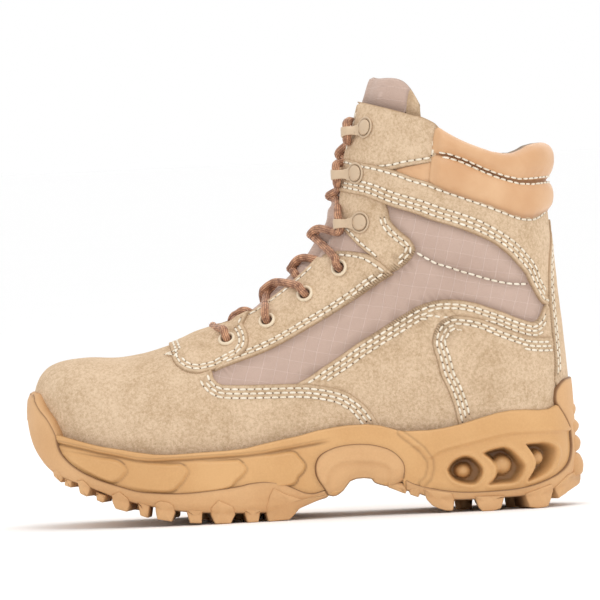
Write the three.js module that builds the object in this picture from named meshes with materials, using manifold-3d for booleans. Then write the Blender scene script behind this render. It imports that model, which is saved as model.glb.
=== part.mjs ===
// Lace-up combat boot with a six-inch shaft, left foot, as separate solids.
// Millimetres, +Z up. The toe points to -X and the outer (lateral) side faces -Y.
// The tables are drawn with x measured from the toe bumper and z from the floor;
// the finished boot is centred over its footprint at the end.
import * as THREE from "three";
import { mergeVertices } from "three/addons/utils/BufferGeometryUtils.js";
import Module from "manifold-3d";

const wasm = await Module();
wasm.setup();

// ---------------------------------------------------------------- sizes

const BALL_HALF_WIDTH = 50; // upper, at the ball of the foot
const WALL = 2.6; // suede, foam and lining together
const GAP = 0.3; // between pieces that touch
const HEEL_BACK = 298; // x of the upper's back at the feather line
const HEEL_DEPTH = 37; // how far forward of that the heel seat starts to round in plan
const SHAFT_DEPTH = 50; // the same, at the top of the shaft
const CLOSED_ROW = 13; // the table row where the sections close behind the heel
const THROAT_ROW = 7.0; // where the lace opening starts
const COLLAR_ROW = 17; // fan line of the padded collar's lower edge
const TOP_ROW = 19; // fan line of the shaft's top edge
const TONGUE_ROW = 20; // fan line of the tongue's top edge
const TONGUE_THICK = 4.5;
const TONGUE_CLEAR = 1.5; // between the tongue and the facings over it
const INSOLE_THICK = 5;
const LACE_RADIUS = 2.2;
const EYELET = { outer: 4.9, hole: 2.7, barrel: 3.3, proud: 1.5 };
const HOOK = { base: 5.6, cap: 4.4, plate: 1, dome: 1.1, arm: 5.2, reach: 13.4, throat: 2.4 };

// ---------------------------------------------------------------- the last

// Each row is one section of the upper, in a plane that holds the Y direction. It runs from a top
// point (tx, tz) on the vamp, instep and shin to a low point (bx, bz) on the feather line, round the
// heel and up the back. yc is the section's middle, lat and med its half widths as shares of the
// ball's, wide how far down it is widest, and top and low how square its two ends are.
const LAST = [
  { tx: 5.0, tz: 64, bx: 5.0, bz: 47, yc: 8, lat: 0, med: 0, wide: 0.74, top: 2.5, low: 2 },
  { tx: 6.0, tz: 77.5, bx: 6.8, bz: 43.5, yc: 8, lat: 0.36, med: 0.33, wide: 0.74, top: 2.6, low: 2 },
  { tx: 11, tz: 86.3, bx: 12.5, bz: 41, yc: 7.5, lat: 0.6, med: 0.55, wide: 0.75, top: 2.7, low: 2 },
  { tx: 20, tz: 90.6, bx: 22, bz: 38.5, yc: 6.5, lat: 0.78, med: 0.72, wide: 0.76, top: 2.7, low: 2 },
  { tx: 34, tz: 92.2, bx: 38, bz: 34.5, yc: 5, lat: 0.91, med: 0.86, wide: 0.77, top: 2.6, low: 2 },
  { tx: 56, tz: 91.8, bx: 62, bz: 30.3, yc: 3, lat: 0.99, med: 0.97, wide: 0.78, top: 2.45, low: 2 },
  { tx: 80, tz: 97, bx: 92, bz: 28, yc: 1, lat: 1.0, med: 0.99, wide: 0.78, top: 2.25, low: 2 },
  { tx: 103, tz: 106.5, bx: 126, bz: 30.5, yc: 1, lat: 0.93, med: 0.9, wide: 0.78, top: 2.1, low: 2 },
  { tx: 127, tz: 118.5, bx: 162, bz: 36, yc: 1.5, lat: 0.84, med: 0.77, wide: 0.77, top: 2.0, low: 2 },
  { tx: 147, tz: 134, bx: 200, bz: 39.2, yc: 1.5, lat: 0.78, med: 0.72, wide: 0.74, top: 2.0, low: 2 },
  { tx: 160, tz: 147.5, bx: 236, bz: 40.3, yc: 1, lat: 0.76, med: 0.73, wide: 0.66, top: 2.0, low: 2 },
  { tx: 168, tz: 158, bx: 266, bz: 41.2, yc: 0.5, lat: 0.76, med: 0.74, wide: 0.58, top: 2.05, low: 2 },
  { tx: 172, tz: 165, bx: 287, bz: 42.3, yc: 0, lat: 0.76, med: 0.75, wide: 0.53, top: 2.1, low: 2.1 },
  { tx: 174, tz: 169.5, bx: 298, bz: 44, yc: 0, lat: 0.76, med: 0.75, wide: 0.5, top: 2.1, low: 2.2 },
  { tx: 175.5, tz: 173.5, bx: 299, bz: 66, yc: 0, lat: 0.76, med: 0.75, wide: 0.5, top: 2.15, low: 2.25 },
  { tx: 178, tz: 182, bx: 297.3, bz: 95, yc: 0, lat: 0.77, med: 0.76, wide: 0.5, top: 2.15, low: 2.25 },
  { tx: 180.5, tz: 190.5, bx: 295, bz: 125, yc: 0, lat: 0.79, med: 0.78, wide: 0.5, top: 2.15, low: 2.25 },
  { tx: 182.5, tz: 200, bx: 293, bz: 158, yc: 0, lat: 0.82, med: 0.81, wide: 0.52, top: 2.15, low: 2.3 },
  { tx: 187.5, tz: 214.5, bx: 292, bz: 178, yc: 0, lat: 0.83, med: 0.82, wide: 0.52, top: 2.15, low: 2.3 },
  { tx: 192, tz: 229, bx: 292, bz: 192, yc: 0, lat: 0.84, med: 0.83, wide: 0.52, top: 2.15, low: 2.3 },
  { tx: 198, tz: 243.5, bx: 292, bz: 202, yc: 0, lat: 0.84, med: 0.83, wide: 0.52, top: 2.15, low: 2.3 },
];
const FEATHER_TUCK = 0.9; // width at the feather line, as a share of the widest

// The value of one column of a table at a row number that need not be whole, on a smooth curve.
function column(rows, key, at) {
  const i = Math.min(Math.max(Math.floor(at), 0), rows.length - 2);
  const t = at - i;
  const [a, b] = [rows[i][key], rows[i + 1][key]];
  const before = i > 0 ? rows[i - 1][key] : 2 * a - b;
  const after = i + 2 < rows.length ? rows[i + 2][key] : 2 * b - a;
  const [ma, mb] = [(b - before) / 2, (after - a) / 2];
  return (2 * t ** 3 - 3 * t ** 2 + 1) * a + (t ** 3 - 2 * t ** 2 + t) * ma
    + (3 * t ** 2 - 2 * t ** 3) * b + (t ** 3 - t ** 2) * mb;
}

// One section of the last at row u.
function section(u) {
  const s = {};
  for (const key of Object.keys(LAST[0])) s[key] = column(LAST, key, u);
  s.lat = Math.max(0, s.lat) * BALL_HALF_WIDTH;
  s.med = Math.max(0, s.med) * BALL_HALF_WIDTH;
  s.tuck = FEATHER_TUCK + (1 - FEATHER_TUCK) * THREE.MathUtils.smoothstep(u, CLOSED_ROW, CLOSED_ROW + 2);
  s.back = u < CLOSED_ROW ? HEEL_BACK : s.bx;
  return s;
}

// How much of its full width the last keeps near its round back.
function heelRound(s, x, z) {
  const depth = HEEL_DEPTH + (SHAFT_DEPTH - HEEL_DEPTH) * THREE.MathUtils.smoothstep(z, 60, 190);
  const past = (x - (s.back - depth)) / depth;
  return Math.sqrt(Math.max(0, 1 - Math.max(0, past) ** 2));
}

// A point of the last's surface. a runs from 0 at the top to 1 at the widest to 2 at the low end,
// and side is -1 for lateral and 1 for medial.
function lastPoint(u, a, side) {
  const s = section(u);
  const half = side < 0 ? s.lat : s.med;
  let down, out;
  if (a <= 1) {
    const phi = (a * Math.PI) / 2;
    down = s.wide * (1 - Math.cos(phi) ** (2 / s.top));
    out = Math.sin(phi) ** (2 / s.top);
  } else {
    const phi = ((a - 1) * Math.PI) / 2;
    down = s.wide + (1 - s.wide) * Math.sin(phi) ** (2 / s.low);
    out = s.tuck + (1 - s.tuck) * Math.max(0, Math.cos(phi)) ** (2 / s.low);
  }
  const x = s.tx + (s.bx - s.tx) * down;
  const z = s.tz + (s.bz - s.tz) * down;
  if (u >= CLOSED_ROW && a >= 2) return new THREE.Vector3(x, s.yc, z);
  return new THREE.Vector3(x, s.yc + side * half * out * heelRound(s, x, z), z);
}

// The outward direction of the surface there.
function lastNormal(u, a, side) {
  const h = 0.02;
  const along = lastPoint(u + h, a, side).sub(lastPoint(u - h, a, side));
  const [a0, a1] = [Math.max(a - h, 0.005), a + h];
  const round = lastPoint(u, a1, side).sub(lastPoint(u, a0, side));
  return along.cross(round).multiplyScalar(side).normalize();
}

// The row u and place a of the point that shows at (x, z) from the side.
function locate(x, z) {
  let [low, high] = [0.5, TONGUE_ROW];
  const behind = (u) => {
    const s = section(u);
    return (s.bx - s.tx) * (z - s.tz) - (s.bz - s.tz) * (x - s.tx);
  };
  for (let i = 0; i < 50; i++) {
    const middle = (low + high) / 2;
    if (behind(middle) < 0) high = middle;
    else low = middle;
  }
  const s = section(low);
  const length = Math.hypot(s.bx - s.tx, s.bz - s.tz);
  const down = ((x - s.tx) * (s.bx - s.tx) + (z - s.tz) * (s.bz - s.tz)) / length ** 2;
  let a;
  if (down < s.wide) {
    a = (Math.acos(Math.max(0, 1 - down / s.wide) ** (s.top / 2)) * 2) / Math.PI;
  } else {
    a = 1 + (Math.asin(Math.min(1, (down - s.wide) / (1 - s.wide)) ** (s.low / 2)) * 2) / Math.PI;
  }
  return { u: low, a };
}

// ---------------------------------------------------------------- mesh helpers

// Gathers triangles over shared vertices, dropping those that have collapsed.
class Surface {
  constructor() {
    this.points = [];
    this.keys = new Map();
    this.triangles = [];
  }
  vertex(p) {
    const key = [p.x, p.y, p.z].map((v) => Math.round(v * 500)).join();
    if (!this.keys.has(key)) {
      this.keys.set(key, this.points.length);
      this.points.push(p.clone());
    }
    return this.keys.get(key);
  }
  triangle(a, b, c) {
    if (a !== b && b !== c && c !== a) this.triangles.push([a, b, c]);
  }
  quad(a, b, c, d) {
    this.triangle(a, b, c);
    this.triangle(a, c, d);
  }
  normals() {
    const sums = this.points.map(() => new THREE.Vector3());
    for (const [a, b, c] of this.triangles) {
      const [pa, pb, pc] = [this.points[a], this.points[b], this.points[c]];
      const n = pb.clone().sub(pa).cross(pc.clone().sub(pa));
      for (const i of [a, b, c]) sums[i].add(n);
    }
    return sums.map((n) => n.normalize());
  }
  solid() {
    return new wasm.Manifold(new wasm.Mesh({
      numProp: 3,
      vertProperties: new Float32Array(this.points.flatMap((p) => [p.x, p.y, p.z])),
      triVerts: new Uint32Array(this.triangles.flat()),
    }));
  }
}

// A solid through closed sections with the same number of points; a section of one place needs no cap.
function loft(sections) {
  const surface = new Surface();
  const rings = sections.map((s) => s.map((p) => surface.vertex(p)));
  for (let i = 0; i + 1 < rings.length; i++) {
    const [p, q] = [rings[i], rings[i + 1]];
    for (let j = 0; j < p.length; j++) {
      const k = (j + 1) % p.length;
      surface.quad(p[j], p[k], q[k], q[j]);
    }
  }
  const cap = (ring, points, flip) => {
    if (new Set(ring).size < 3) return;
    const middle = points.reduce((sum, p) => sum.add(p), new THREE.Vector3()).divideScalar(points.length);
    const centre = surface.vertex(middle);
    ring.forEach((v, j) => {
      const w = ring[(j + 1) % ring.length];
      if (flip) surface.triangle(centre, v, w);
      else surface.triangle(centre, w, v);
    });
  };
  cap(rings[0], sections[0], false);
  cap(rings.at(-1), sections.at(-1), true);
  const made = surface.solid();
  if (made.volume() > 0) return made;
  surface.triangles = surface.triangles.map(([a, b, c]) => [a, c, b]);
  return surface.solid();
}

// A closed three.js geometry as a manifold solid.
function solidOf(geometry) {
  geometry.deleteAttribute("normal");
  geometry.deleteAttribute("uv");
  const merged = mergeVertices(geometry, 1e-3);
  return new wasm.Manifold(new wasm.Mesh({
    numProp: 3,
    vertProperties: new Float32Array(merged.attributes.position.array),
    triVerts: new Uint32Array(merged.index.array),
  }));
}

// A prism whose outline is drawn in side view, as [x, z] points, between two values of y.
function sidePrism(outline, y0, y1) {
  const shape = new THREE.Shape(outline.map(([x, z]) => new THREE.Vector2(x, z)));
  const geometry = new THREE.ExtrudeGeometry(shape, { depth: y1 - y0, bevelEnabled: false });
  return solidOf(geometry.rotateX(Math.PI / 2).translate(0, y1, 0));
}

// The part of an outline's line moved sideways, to its left when distance is positive.
function shifted(line, distance) {
  return line.map((p, i) => {
    const [a, b] = [line[Math.max(i - 1, 0)], line[Math.min(i + 1, line.length - 1)]];
    const [dx, dz] = [b[0] - a[0], b[1] - a[1]];
    const length = Math.hypot(dx, dz);
    return [p[0] - (dz / length) * distance, p[1] + (dx / length) * distance];
  });
}

// ---------------------------------------------------------------- upper

const UPPER_ROWS = [
  0, 0.3, 0.65, 1, 1.5, 2.1, 2.8, 3.6, 4.5, 5.4, 6.2, 7, 7.6, 8.3, 9, 9.7, 10.4, 11, 11.5, 12, 12.4,
  12.75, 13, 13.5, 14.2, 15.2, 16.4, 17.7, 19,
];
const UPPER_STEPS = [0, 0.2, 0.38, 0.55, 0.75, 1, 1.25, 1.5, 1.75, 2];

// The outer skin of the last as a grid, from the lateral low edge over the top to the medial one.
function lastSkin(rows) {
  const surface = new Surface();
  const places = [
    ...[...UPPER_STEPS].reverse().map((a) => [a, -1]),
    ...UPPER_STEPS.slice(1).map((a) => [a, 1]),
  ];
  const grid = rows.map((u) => places.map(([a, side]) => surface.vertex(lastPoint(u, a, side))));
  for (let i = 0; i + 1 < grid.length; i++) {
    for (let j = 0; j + 1 < places.length; j++) {
      surface.quad(grid[i][j], grid[i + 1][j], grid[i + 1][j + 1], grid[i][j + 1]);
    }
  }
  return { surface, grid };
}

// The skin as a hollow wall.
function lastWall(rows, thickness) {
  const { surface } = lastSkin(rows);
  const normals = surface.normals();
  const outer = surface.points.length;
  const outside = surface.triangles.slice();
  for (let i = 0; i < outer; i++) {
    surface.points.push(surface.points[i].clone().addScaledVector(normals[i], -thickness));
  }
  for (const [a, b, c] of outside) surface.triangle(a + outer, c + outer, b + outer);
  const used = new Set(outside.flatMap(([a, b, c]) => [`${a},${b}`, `${b},${c}`, `${c},${a}`]));
  for (const edge of used) {
    const [a, b] = edge.split(",").map(Number);
    if (!used.has(`${b},${a}`)) surface.quad(b, a, a + outer, b + outer);
  }
  return surface.solid();
}

// The last itself, grown or shrunk all round; a grown one is let down flat underneath.
function lastForm(rows, growth, drop = 0) {
  const { surface, grid } = lastSkin(rows);
  const normals = surface.normals();
  const low = new Set(grid.filter((_, i) => rows[i] <= CLOSED_ROW).flatMap((r) => [r[0], r.at(-1)]));
  surface.points.forEach((p, i) => {
    const level = p.z - drop;
    p.addScaledVector(normals[i], growth);
    if (growth > 0 && low.has(i)) p.z = level;
  });
  for (let i = 0; i + 1 < grid.length; i++) {
    surface.quad(grid[i].at(-1), grid[i + 1].at(-1), grid[i + 1][0], grid[i][0]);
  }
  const top = grid.at(-1).slice(0, -1);
  for (let j = 1; j + 1 < top.length; j++) surface.triangle(top[0], top[j + 1], top[j]);
  const made = surface.solid();
  if (made.volume() < 0) throw new Error("the last is inside out");
  return made;
}

// Half width of the lace opening, from its round lower end to the top.
const THROAT = [
  { u: THROAT_ROW, half: 0.5 }, { u: 7.06, half: 5 }, { u: 7.2, half: 8.5 }, { u: 7.5, half: 11 },
  { u: 8, half: 12.5 }, { u: 9, half: 13 }, { u: 10, half: 14 }, { u: 12, half: 14.5 },
  { u: 15, half: 11.5 }, { u: 17, half: 8 }, { u: TOP_ROW, half: 7 }, { u: TONGUE_ROW, half: 7 },
];
const THROAT_OUT = 14;
const THROAT_IN = 16;

function throatCutter() {
  return loft(THROAT.map(({ u, half }) => {
    const s = section(u);
    const inward = new THREE.Vector3(s.bx - s.tx, 0, s.bz - s.tz).normalize();
    const top = new THREE.Vector3(s.tx, s.yc, s.tz);
    const at = (depth, y) => top.clone().addScaledVector(inward, depth).add(new THREE.Vector3(0, y, 0));
    return [at(-THROAT_OUT, -half), at(-THROAT_OUT, half), at(THROAT_IN, half), at(THROAT_IN, -half)];
  }));
}

// The lower and front edge of the padded collar, in side view.
const COLLAR_EDGE = [
  [236, 240], [235, 213], [234.5, 203], [233, 194], [229, 183.2], [240, 178.4], [250, 174.6],
  [260, 170.8], [270, 167], [278, 163.6], [284, 162.2], [289, 163.6], [294, 168], [306, 172],
];
// Planes clear of the whole boot, where cutting prisms end.
const ABOVE = 260;
const BEHIND = 320;
const AHEAD = -9;
const HALF_SPAN = 70;

function upperSolid() {
  const wall = lastWall(UPPER_ROWS, WALL);
  const [frontX] = COLLAR_EDGE[0];
  const [, backZ] = COLLAR_EDGE.at(-1);
  const collarRoom = sidePrism(
    [...COLLAR_EDGE, [BEHIND, backZ], [BEHIND, ABOVE], [frontX, ABOVE]], -HALF_SPAN, HALF_SPAN);
  let made = wall.subtract(throatCutter()).subtract(collarRoom);
  for (const place of EYELET_PLACES) {
    for (const side of SIDES) {
      made = made.subtract(eyeletPin(place, side.sign, EYELET.barrel + GAP * 1.5));
    }
  }
  return made;
}

// ---------------------------------------------------------------- padded collar

// The collar's cross-section: up from its lower edge (0) to its top (1), and out of the last's surface.
const COLLAR_PROFILE = [
  { up: 0.02, out: 0.2 }, { up: 0.08, out: 3.2 }, { up: 0.24, out: 5.0 }, { up: 0.42, out: 3.8 },
  { up: 0.52, out: 2.0 }, { up: 0.62, out: 4.6 }, { up: 0.8, out: 6.4 }, { up: 0.95, out: 4.4 },
  { up: 1.0, out: 0 }, { up: 0.94, out: -4.2 }, { up: 0.75, out: -6 }, { up: 0.4, out: -6 },
  { up: 0.1, out: -4.5 }, { up: 0.02, out: -2.2 },
];
const COLLAR_FRONT_X = 228;
const COLLAR_STEPS = 8;
const HEEL_LIFT = 9; // how much higher the collar's top is at the back
const COLLAR_SAG = 3.5; // how much lower it is beside the ankle bone

// Where the collar's top line leaves its fan line: a dip at the sides and a rise at the back.
function collarLift(x) {
  const dip = Math.exp(-(((x - 262) / 16) ** 2));
  const rise = THREE.MathUtils.smoothstep(x, 270, 288);
  return HEEL_LIFT * rise - COLLAR_SAG * dip;
}

function collarSolid() {
  const sections = [];
  for (const [side, direction] of [[-1, 1], [1, -1]]) {
    const steps = [...Array(COLLAR_STEPS + 1).keys()].map((i) => i / COLLAR_STEPS);
    for (const t of direction > 0 ? steps : steps.slice(0, -1).reverse()) {
      sections.push(COLLAR_PROFILE.map(({ up, out }) => {
        const u = COLLAR_ROW + (TOP_ROW - COLLAR_ROW) * up;
        const s = section(u);
        const z = s.tz + ((COLLAR_FRONT_X - s.tx) * (s.bz - s.tz)) / (s.bx - s.tx);
        const front = locate(COLLAR_FRONT_X, z).a;
        const a = front + (2 - front) * t;
        const p = lastPoint(u, a, side);
        const n = t === 1 ? new THREE.Vector3(1, 0, 0) : lastNormal(u, a, side);
        p.addScaledVector(n, out);
        p.z += collarLift(p.x) * up ** 2;
        return p;
      }));
    }
  }
  const edge = shifted(COLLAR_EDGE, GAP);
  const [, backZ] = COLLAR_EDGE.at(-1);
  const room = sidePrism(
    [...edge, [BEHIND, backZ], [BEHIND, ABOVE], [edge[0][0], ABOVE]], -HALF_SPAN, HALF_SPAN);
  return loft(sections).intersect(room);
}

// ---------------------------------------------------------------- tongue

const TONGUE_ROWS = [
  6.7, 7.05, 7.5, 8, 8.5, 9, 9.5, 10, 10.6, 11.3, 12, 13, 14.2, 15.4, 16.6, 17.8, TOP_ROW, 19.5, TONGUE_ROW,
];
const TONGUE_ACROSS = [-1, -0.82, -0.6, -0.38, -0.17, 0, 0.17, 0.38, 0.6, 0.82, 1];
// How wide the tongue is and how far it swells out between the facings.
const TONGUE = [
  { u: 6.7, half: 20, crown: 0 }, { u: 7.5, half: 23, crown: 2 }, { u: 9, half: 25, crown: 3 },
  { u: 11, half: 27, crown: 4.5 }, { u: 13, half: 29, crown: 6.5 }, { u: 15, half: 30, crown: 6.5 },
  { u: 17, half: 33, crown: 3.2 }, { u: 19, half: 36, crown: 2.2 }, { u: 20, half: 36, crown: 2.2 },
];

const TONGUE_FALL = 2.3; // how sharply the swell falls away towards the facings

// A value of a table whose rows are placed by their u, on straight lines.
function between(rows, key, u) {
  const i = Math.max(rows.findIndex((r) => r.u >= u), 1);
  const [a, b] = [rows[i - 1], rows[i]];
  const t = Math.min(Math.max((u - a.u) / (b.u - a.u), 0), 1);
  return a[key] + (b[key] - a[key]) * t;
}

// A point of the tongue: across from -1 to 1, and depth below its outer face.
function tonguePoint(u, across, depth) {
  const s = section(u);
  const side = across < 0 ? -1 : 1;
  const half = side < 0 ? s.lat : s.med;
  const y = Math.abs(across) * between(TONGUE, "half", u);
  const a = (Math.asin(Math.min(1, (y / half) ** (s.top / 2))) * 2) / Math.PI;
  const opening = between(THROAT, "half", Math.max(u, THROAT_ROW));
  const swell = between(TONGUE, "crown", u) * Math.exp(-TONGUE_FALL * (y / opening) ** 2);
  const middle = new THREE.Vector3(s.tx - s.bx, 0, s.tz - s.bz).normalize();
  const n = across === 0 ? middle : lastNormal(u, a, side);
  return lastPoint(u, a, side).addScaledVector(n, swell - WALL - TONGUE_CLEAR - depth);
}

function tongueSolid() {
  return loft(TONGUE_ROWS.map((u) => [
    ...TONGUE_ACROSS.map((x) => tonguePoint(u, x, 0)),
    ...[...TONGUE_ACROSS].reverse().map((x) => tonguePoint(u, x * 0.97, TONGUE_THICK)),
  ]));
}

// ---------------------------------------------------------------- sole

// The sole's outline in plan and the underside of its body, which the lugs hang from.
const SOLE = [
  { x: 0, yc: 8, lat: 0, med: 0, base: 60, tread: 60 },
  { x: 0.8, yc: 8, lat: 15, med: 14, base: 51, tread: 51 },
  { x: 3.5, yc: 8, lat: 27, med: 24.5, base: 42, tread: 42 },
  { x: 9, yc: 7.5, lat: 37, med: 33, base: 34, tread: 33.6 },
  { x: 18, yc: 6.5, lat: 45, med: 40.5, base: 28.5, tread: 25 },
  { x: 32, yc: 5, lat: 51, med: 47, base: 23.2, tread: 18.3 },
  { x: 52, yc: 3, lat: 55, med: 52.5, base: 15.2, tread: 9.5 },
  { x: 80, yc: 1, lat: 57, med: 56, base: 8.6, tread: 2.9 },
  { x: 105, yc: 1, lat: 55.5, med: 53.5, base: 6, tread: 0 },
  { x: 135, yc: 1, lat: 51, med: 46.5, base: 5, tread: 0 },
  { x: 150, yc: 1, lat: 48.5, med: 43, base: 7, tread: 4 },
  { x: 168, yc: 1.5, lat: 46, med: 40, base: 12, tread: 11 },
  { x: 205, yc: 1, lat: 43.5, med: 39.5, base: 13.5, tread: 12 },
  { x: 220, yc: 0.5, lat: 43, med: 41, base: 9.5, tread: 5 },
  { x: 235, yc: 0.5, lat: 42.5, med: 41.5, base: 7, tread: 0 },
  { x: 260, yc: 0, lat: 41, med: 41, base: 7, tread: 0 },
  { x: 278, yc: 0, lat: 36.5, med: 36.5, base: 7.5, tread: 0 },
  { x: 290, yc: 0, lat: 29, med: 29, base: 9.5, tread: 4.5 },
  { x: 298, yc: 0, lat: 19, med: 19, base: 13, tread: 9 },
  { x: 301.6, yc: 0, lat: 9, med: 9, base: 18, tread: 15 },
  { x: 302.6, yc: 0, lat: 0, med: 0, base: 26, tread: 24 },
];
// The side wall from the body's underside up: height, and how far it stands in from the outline.
const SOLE_WALL = [
  { rise: 0, inset: 3.4 }, { rise: 3.5, inset: 1.2 }, { rise: 9, inset: 0 },
];
const SOLE_HEIGHTS = [{ z: 46, inset: 0.4 }, { z: 60, inset: 1.6 }, { z: 76, inset: 4.2 }];

// A ring of the sole at one station: levels of { z, inset } up one side and down the other.
function soleRing(row, levels) {
  const ring = (half, side) => levels.map(({ z, inset }) => {
    const out = Math.max(0, half - inset * Math.min(1, half / 20));
    return new THREE.Vector3(row.x, row.yc + side * out, z);
  });
  return [...ring(row.lat, -1), ...ring(row.med, 1).reverse()];
}

// The whole sole's outer form, with no lugs, and taller than its rim.
function soleForm() {
  return loft(SOLE.map((row) => {
    const wall = SOLE_WALL.map(({ rise, inset }) => ({ z: row.base + rise, inset }));
    const upper = SOLE_HEIGHTS.map(({ z, inset }) => ({ z: Math.max(z, row.base + 12 + z / 50), inset }));
    return soleRing(row, [...wall, ...upper]);
  }));
}

// The layer that the lugs are cut from.
function treadForm() {
  return loft(SOLE.map((row) => {
    const tread = Math.max(0, Math.min(row.tread, row.base - 0.2));
    return soleRing(row, [
      { z: tread, inset: 4.2 },
      { z: Math.min(tread + 1.2, row.base), inset: 3.4 },
      { z: row.base + 2, inset: 2.6 },
    ]);
  }));
}

// Side-view outlines of the sole's pieces, as [x, z], from toe to heel on top and back underneath.
const RIM = [
  [16.2, 52.6], [30, 49.2], [45, 45.3], [60, 42.2], [75, 40], [95, 40.2], [120, 42], [140, 45.2],
  [160, 49.5], [178, 51.3], [190, 51], [200, 49], [210, 46.8], [222, 46.6], [238, 48.8], [255, 52.8],
  [268, 55], [280, 54.7], [293, 56],
];
const HEEL_SPLIT = [
  [293, 56], [296.5, 50], [299.5, 42], [300.2, 35], [299, 28.5], [295, 22], [288, 17.2], [275, 13],
  [255, 10.8], [240, 11.3], [225, 13.6], [207, 20],
];
const ARCH_TOP = [
  [207, 20], [208, 26], [206, 31], [201, 35.3], [192, 38.8], [180, 40.3], [170, 38.9], [162, 35],
  [158.3, 29], [158.8, 23], [163.5, 16.3],
];
const ARCH_UNDER = [
  [165.8, 12.6], [169, 12], [173.5, 15.2], [178, 20.3], [183, 21.4], [189, 21], [191.5, 18.6],
  [197, 16.8], [201, 16.4], [206.4, 18.4],
];
const FORE_SPLIT = [
  [163.5, 16.3], [156, 14.8], [148, 17], [138, 21], [128, 22.4], [115, 21.2], [100, 19.4],
  [82, 18.3], [66, 19.6], [50, 23.6], [38, 28], [27, 34], [20, 41], [16.6, 47], [16.2, 52.6],
];
const BUMPER_EDGE = [[15.9, 52.6], [14.5, 56.5], [11, 62], [6.5, 67.5], [4.4, 72], [3.9, 77]];
const HEEL_TAB_EDGE = [[299.5, 71.5], [298, 70], [295.5, 66.6], [293, 64], [292.3, 60], [293, 56]];
const UNDER_FLOOR = -5;
const ABOVE_RIM = 77; // clear of the bumper's top
const [ARCH_FRONT, HEEL_FRONT] = [165.5, 206.9]; // where the arch parts the forefoot's tread from the heel's

// The heel's windows, in side view, and the cushion pod that shows in each.
const WINDOWS = [
  {
    outline: [
      [231, 23], [234, 28], [240, 31], [245, 30.5], [249.5, 26], [251, 21], [248, 16],
      [244, 14.8], [236, 17],
    ],
    pod: [240, 22.5],
    size: [4.4, 3.6],
  },
  {
    outline: [
      [251, 32.5], [260, 34.8], [266, 34.2], [271, 29.5], [274.5, 23.5], [271, 17], [266, 14.5],
      [254, 14.8], [258.5, 22], [256, 28],
    ],
    pod: [263, 25],
    size: [5.6, 4.8],
  },
  {
    outline: [
      [275.5, 36], [287, 36], [291.5, 33.5], [292.5, 28], [290, 21], [284, 17.3], [276.5, 16.4],
      [280.5, 23.5], [280.5, 29],
    ],
    pod: [284, 27.5],
    size: [3.6, 4],
  },
];
const WINDOW_DEPTH = 9;
const POD_PROUD = 6; // how far a pod stands out of its window's floor

// How far out the sole is at x, on a side.
function soleReach(x, side) {
  const i = SOLE.findIndex((r) => r.x > x);
  const [a, b] = [SOLE[i - 1], SOLE[i]];
  const t = (x - a.x) / (b.x - a.x);
  const row = (key) => a[key] + (b[key] - a[key]) * t;
  return row("yc") + side * (side < 0 ? row("lat") : row("med"));
}

function midsoleSolid(form, cup) {
  const outline = [...RIM, ...HEEL_SPLIT.slice(1), ...ARCH_TOP.slice(1), ...FORE_SPLIT.slice(1, -1)];
  let made = form.intersect(sidePrism(outline, -HALF_SPAN, HALF_SPAN)).subtract(cup);
  for (const { outline: hole, pod } of WINDOWS) {
    for (const { sign } of SIDES) {
      const floor = soleReach(pod[0], sign) - sign * WINDOW_DEPTH;
      const [y0, y1] = sign < 0 ? [-HALF_SPAN, floor] : [floor, HALF_SPAN];
      made = made.subtract(sidePrism(hole, y0, y1));
    }
  }
  const pods = WINDOWS.flatMap((window) => SIDES.map(({ sign }) => podSolid(window, sign)));
  return made.add(union(pods));
}

// A cushion pod, moulded on its window's floor.
function podSolid({ pod: [x, z], size: [rx, rz] }, sign) {
  const floor = soleReach(x, sign) - sign * WINDOW_DEPTH;
  const pod = new THREE.SphereGeometry(1, 8, 6).scale(rx, POD_PROUD, rz);
  return solidOf(pod.translate(x, floor, z));
}

// Edge lugs from the outline inwards, as x from and to, and how deep they reach across.
const FORE_LUGS = [
  { from: 11.5, to: 17.6, depth: 30 }, { from: 18.6, to: 22.4, depth: 14 },
  { from: 26.6, to: 33.2, depth: 22 }, { from: 36.2, to: 41.4, depth: 14 },
  { from: 46.2, to: 55, depth: 22 }, { from: 59.8, to: 65.8, depth: 14 },
  { from: 69.2, to: 80, depth: 24 }, { from: 86, to: 95.6, depth: 15 }, { from: 100, to: 113.6, depth: 24 },
  { from: 118.4, to: 128, depth: 15 }, { from: 130.4, to: 149, depth: 22 },
];
const HEEL_LUGS = [
  { from: 219, to: 233.6, depth: 22 }, { from: 247.4, to: 261.2, depth: 20 },
  { from: 275.4, to: 289.4, depth: 20 }, { from: 291.6, to: 306, depth: 40 },
];
// Lugs down the middle, as centre x, half length and half width.
const MIDDLE_LUGS = [
  { x: 36, long: 6, wide: 11 }, { x: 56, long: 6, wide: 14 }, { x: 76, long: 6, wide: 15 },
  { x: 96, long: 6, wide: 15 }, { x: 116, long: 6, wide: 13 }, { x: 135, long: 5, wide: 11 },
  { x: 240, long: 4.5, wide: 11 }, { x: 254, long: 4.5, wide: 11 }, { x: 268, long: 4.5, wide: 10 },
];

const LUG_CUT_TOP = 60; // the lugs' cutters reach above the tread everywhere
const LAST_LUG_X = 300; // the furthest back that a lug's depth is measured from

function edgeLugs(lugs) {
  return lugs.flatMap(({ from, to, depth }) => SIDES.map(({ sign }) => {
    const inner = soleReach(Math.min((from + to) / 2, LAST_LUG_X), sign) - sign * depth;
    const [y0, y1] = sign < 0 ? [-HALF_SPAN, Math.min(inner, 1)] : [Math.max(inner, -1), HALF_SPAN];
    const outline = [[from, LUG_CUT_TOP], [from, UNDER_FLOOR], [to, UNDER_FLOOR], [to, LUG_CUT_TOP]];
    return sidePrism(outline, y0, y1);
  }));
}

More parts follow.
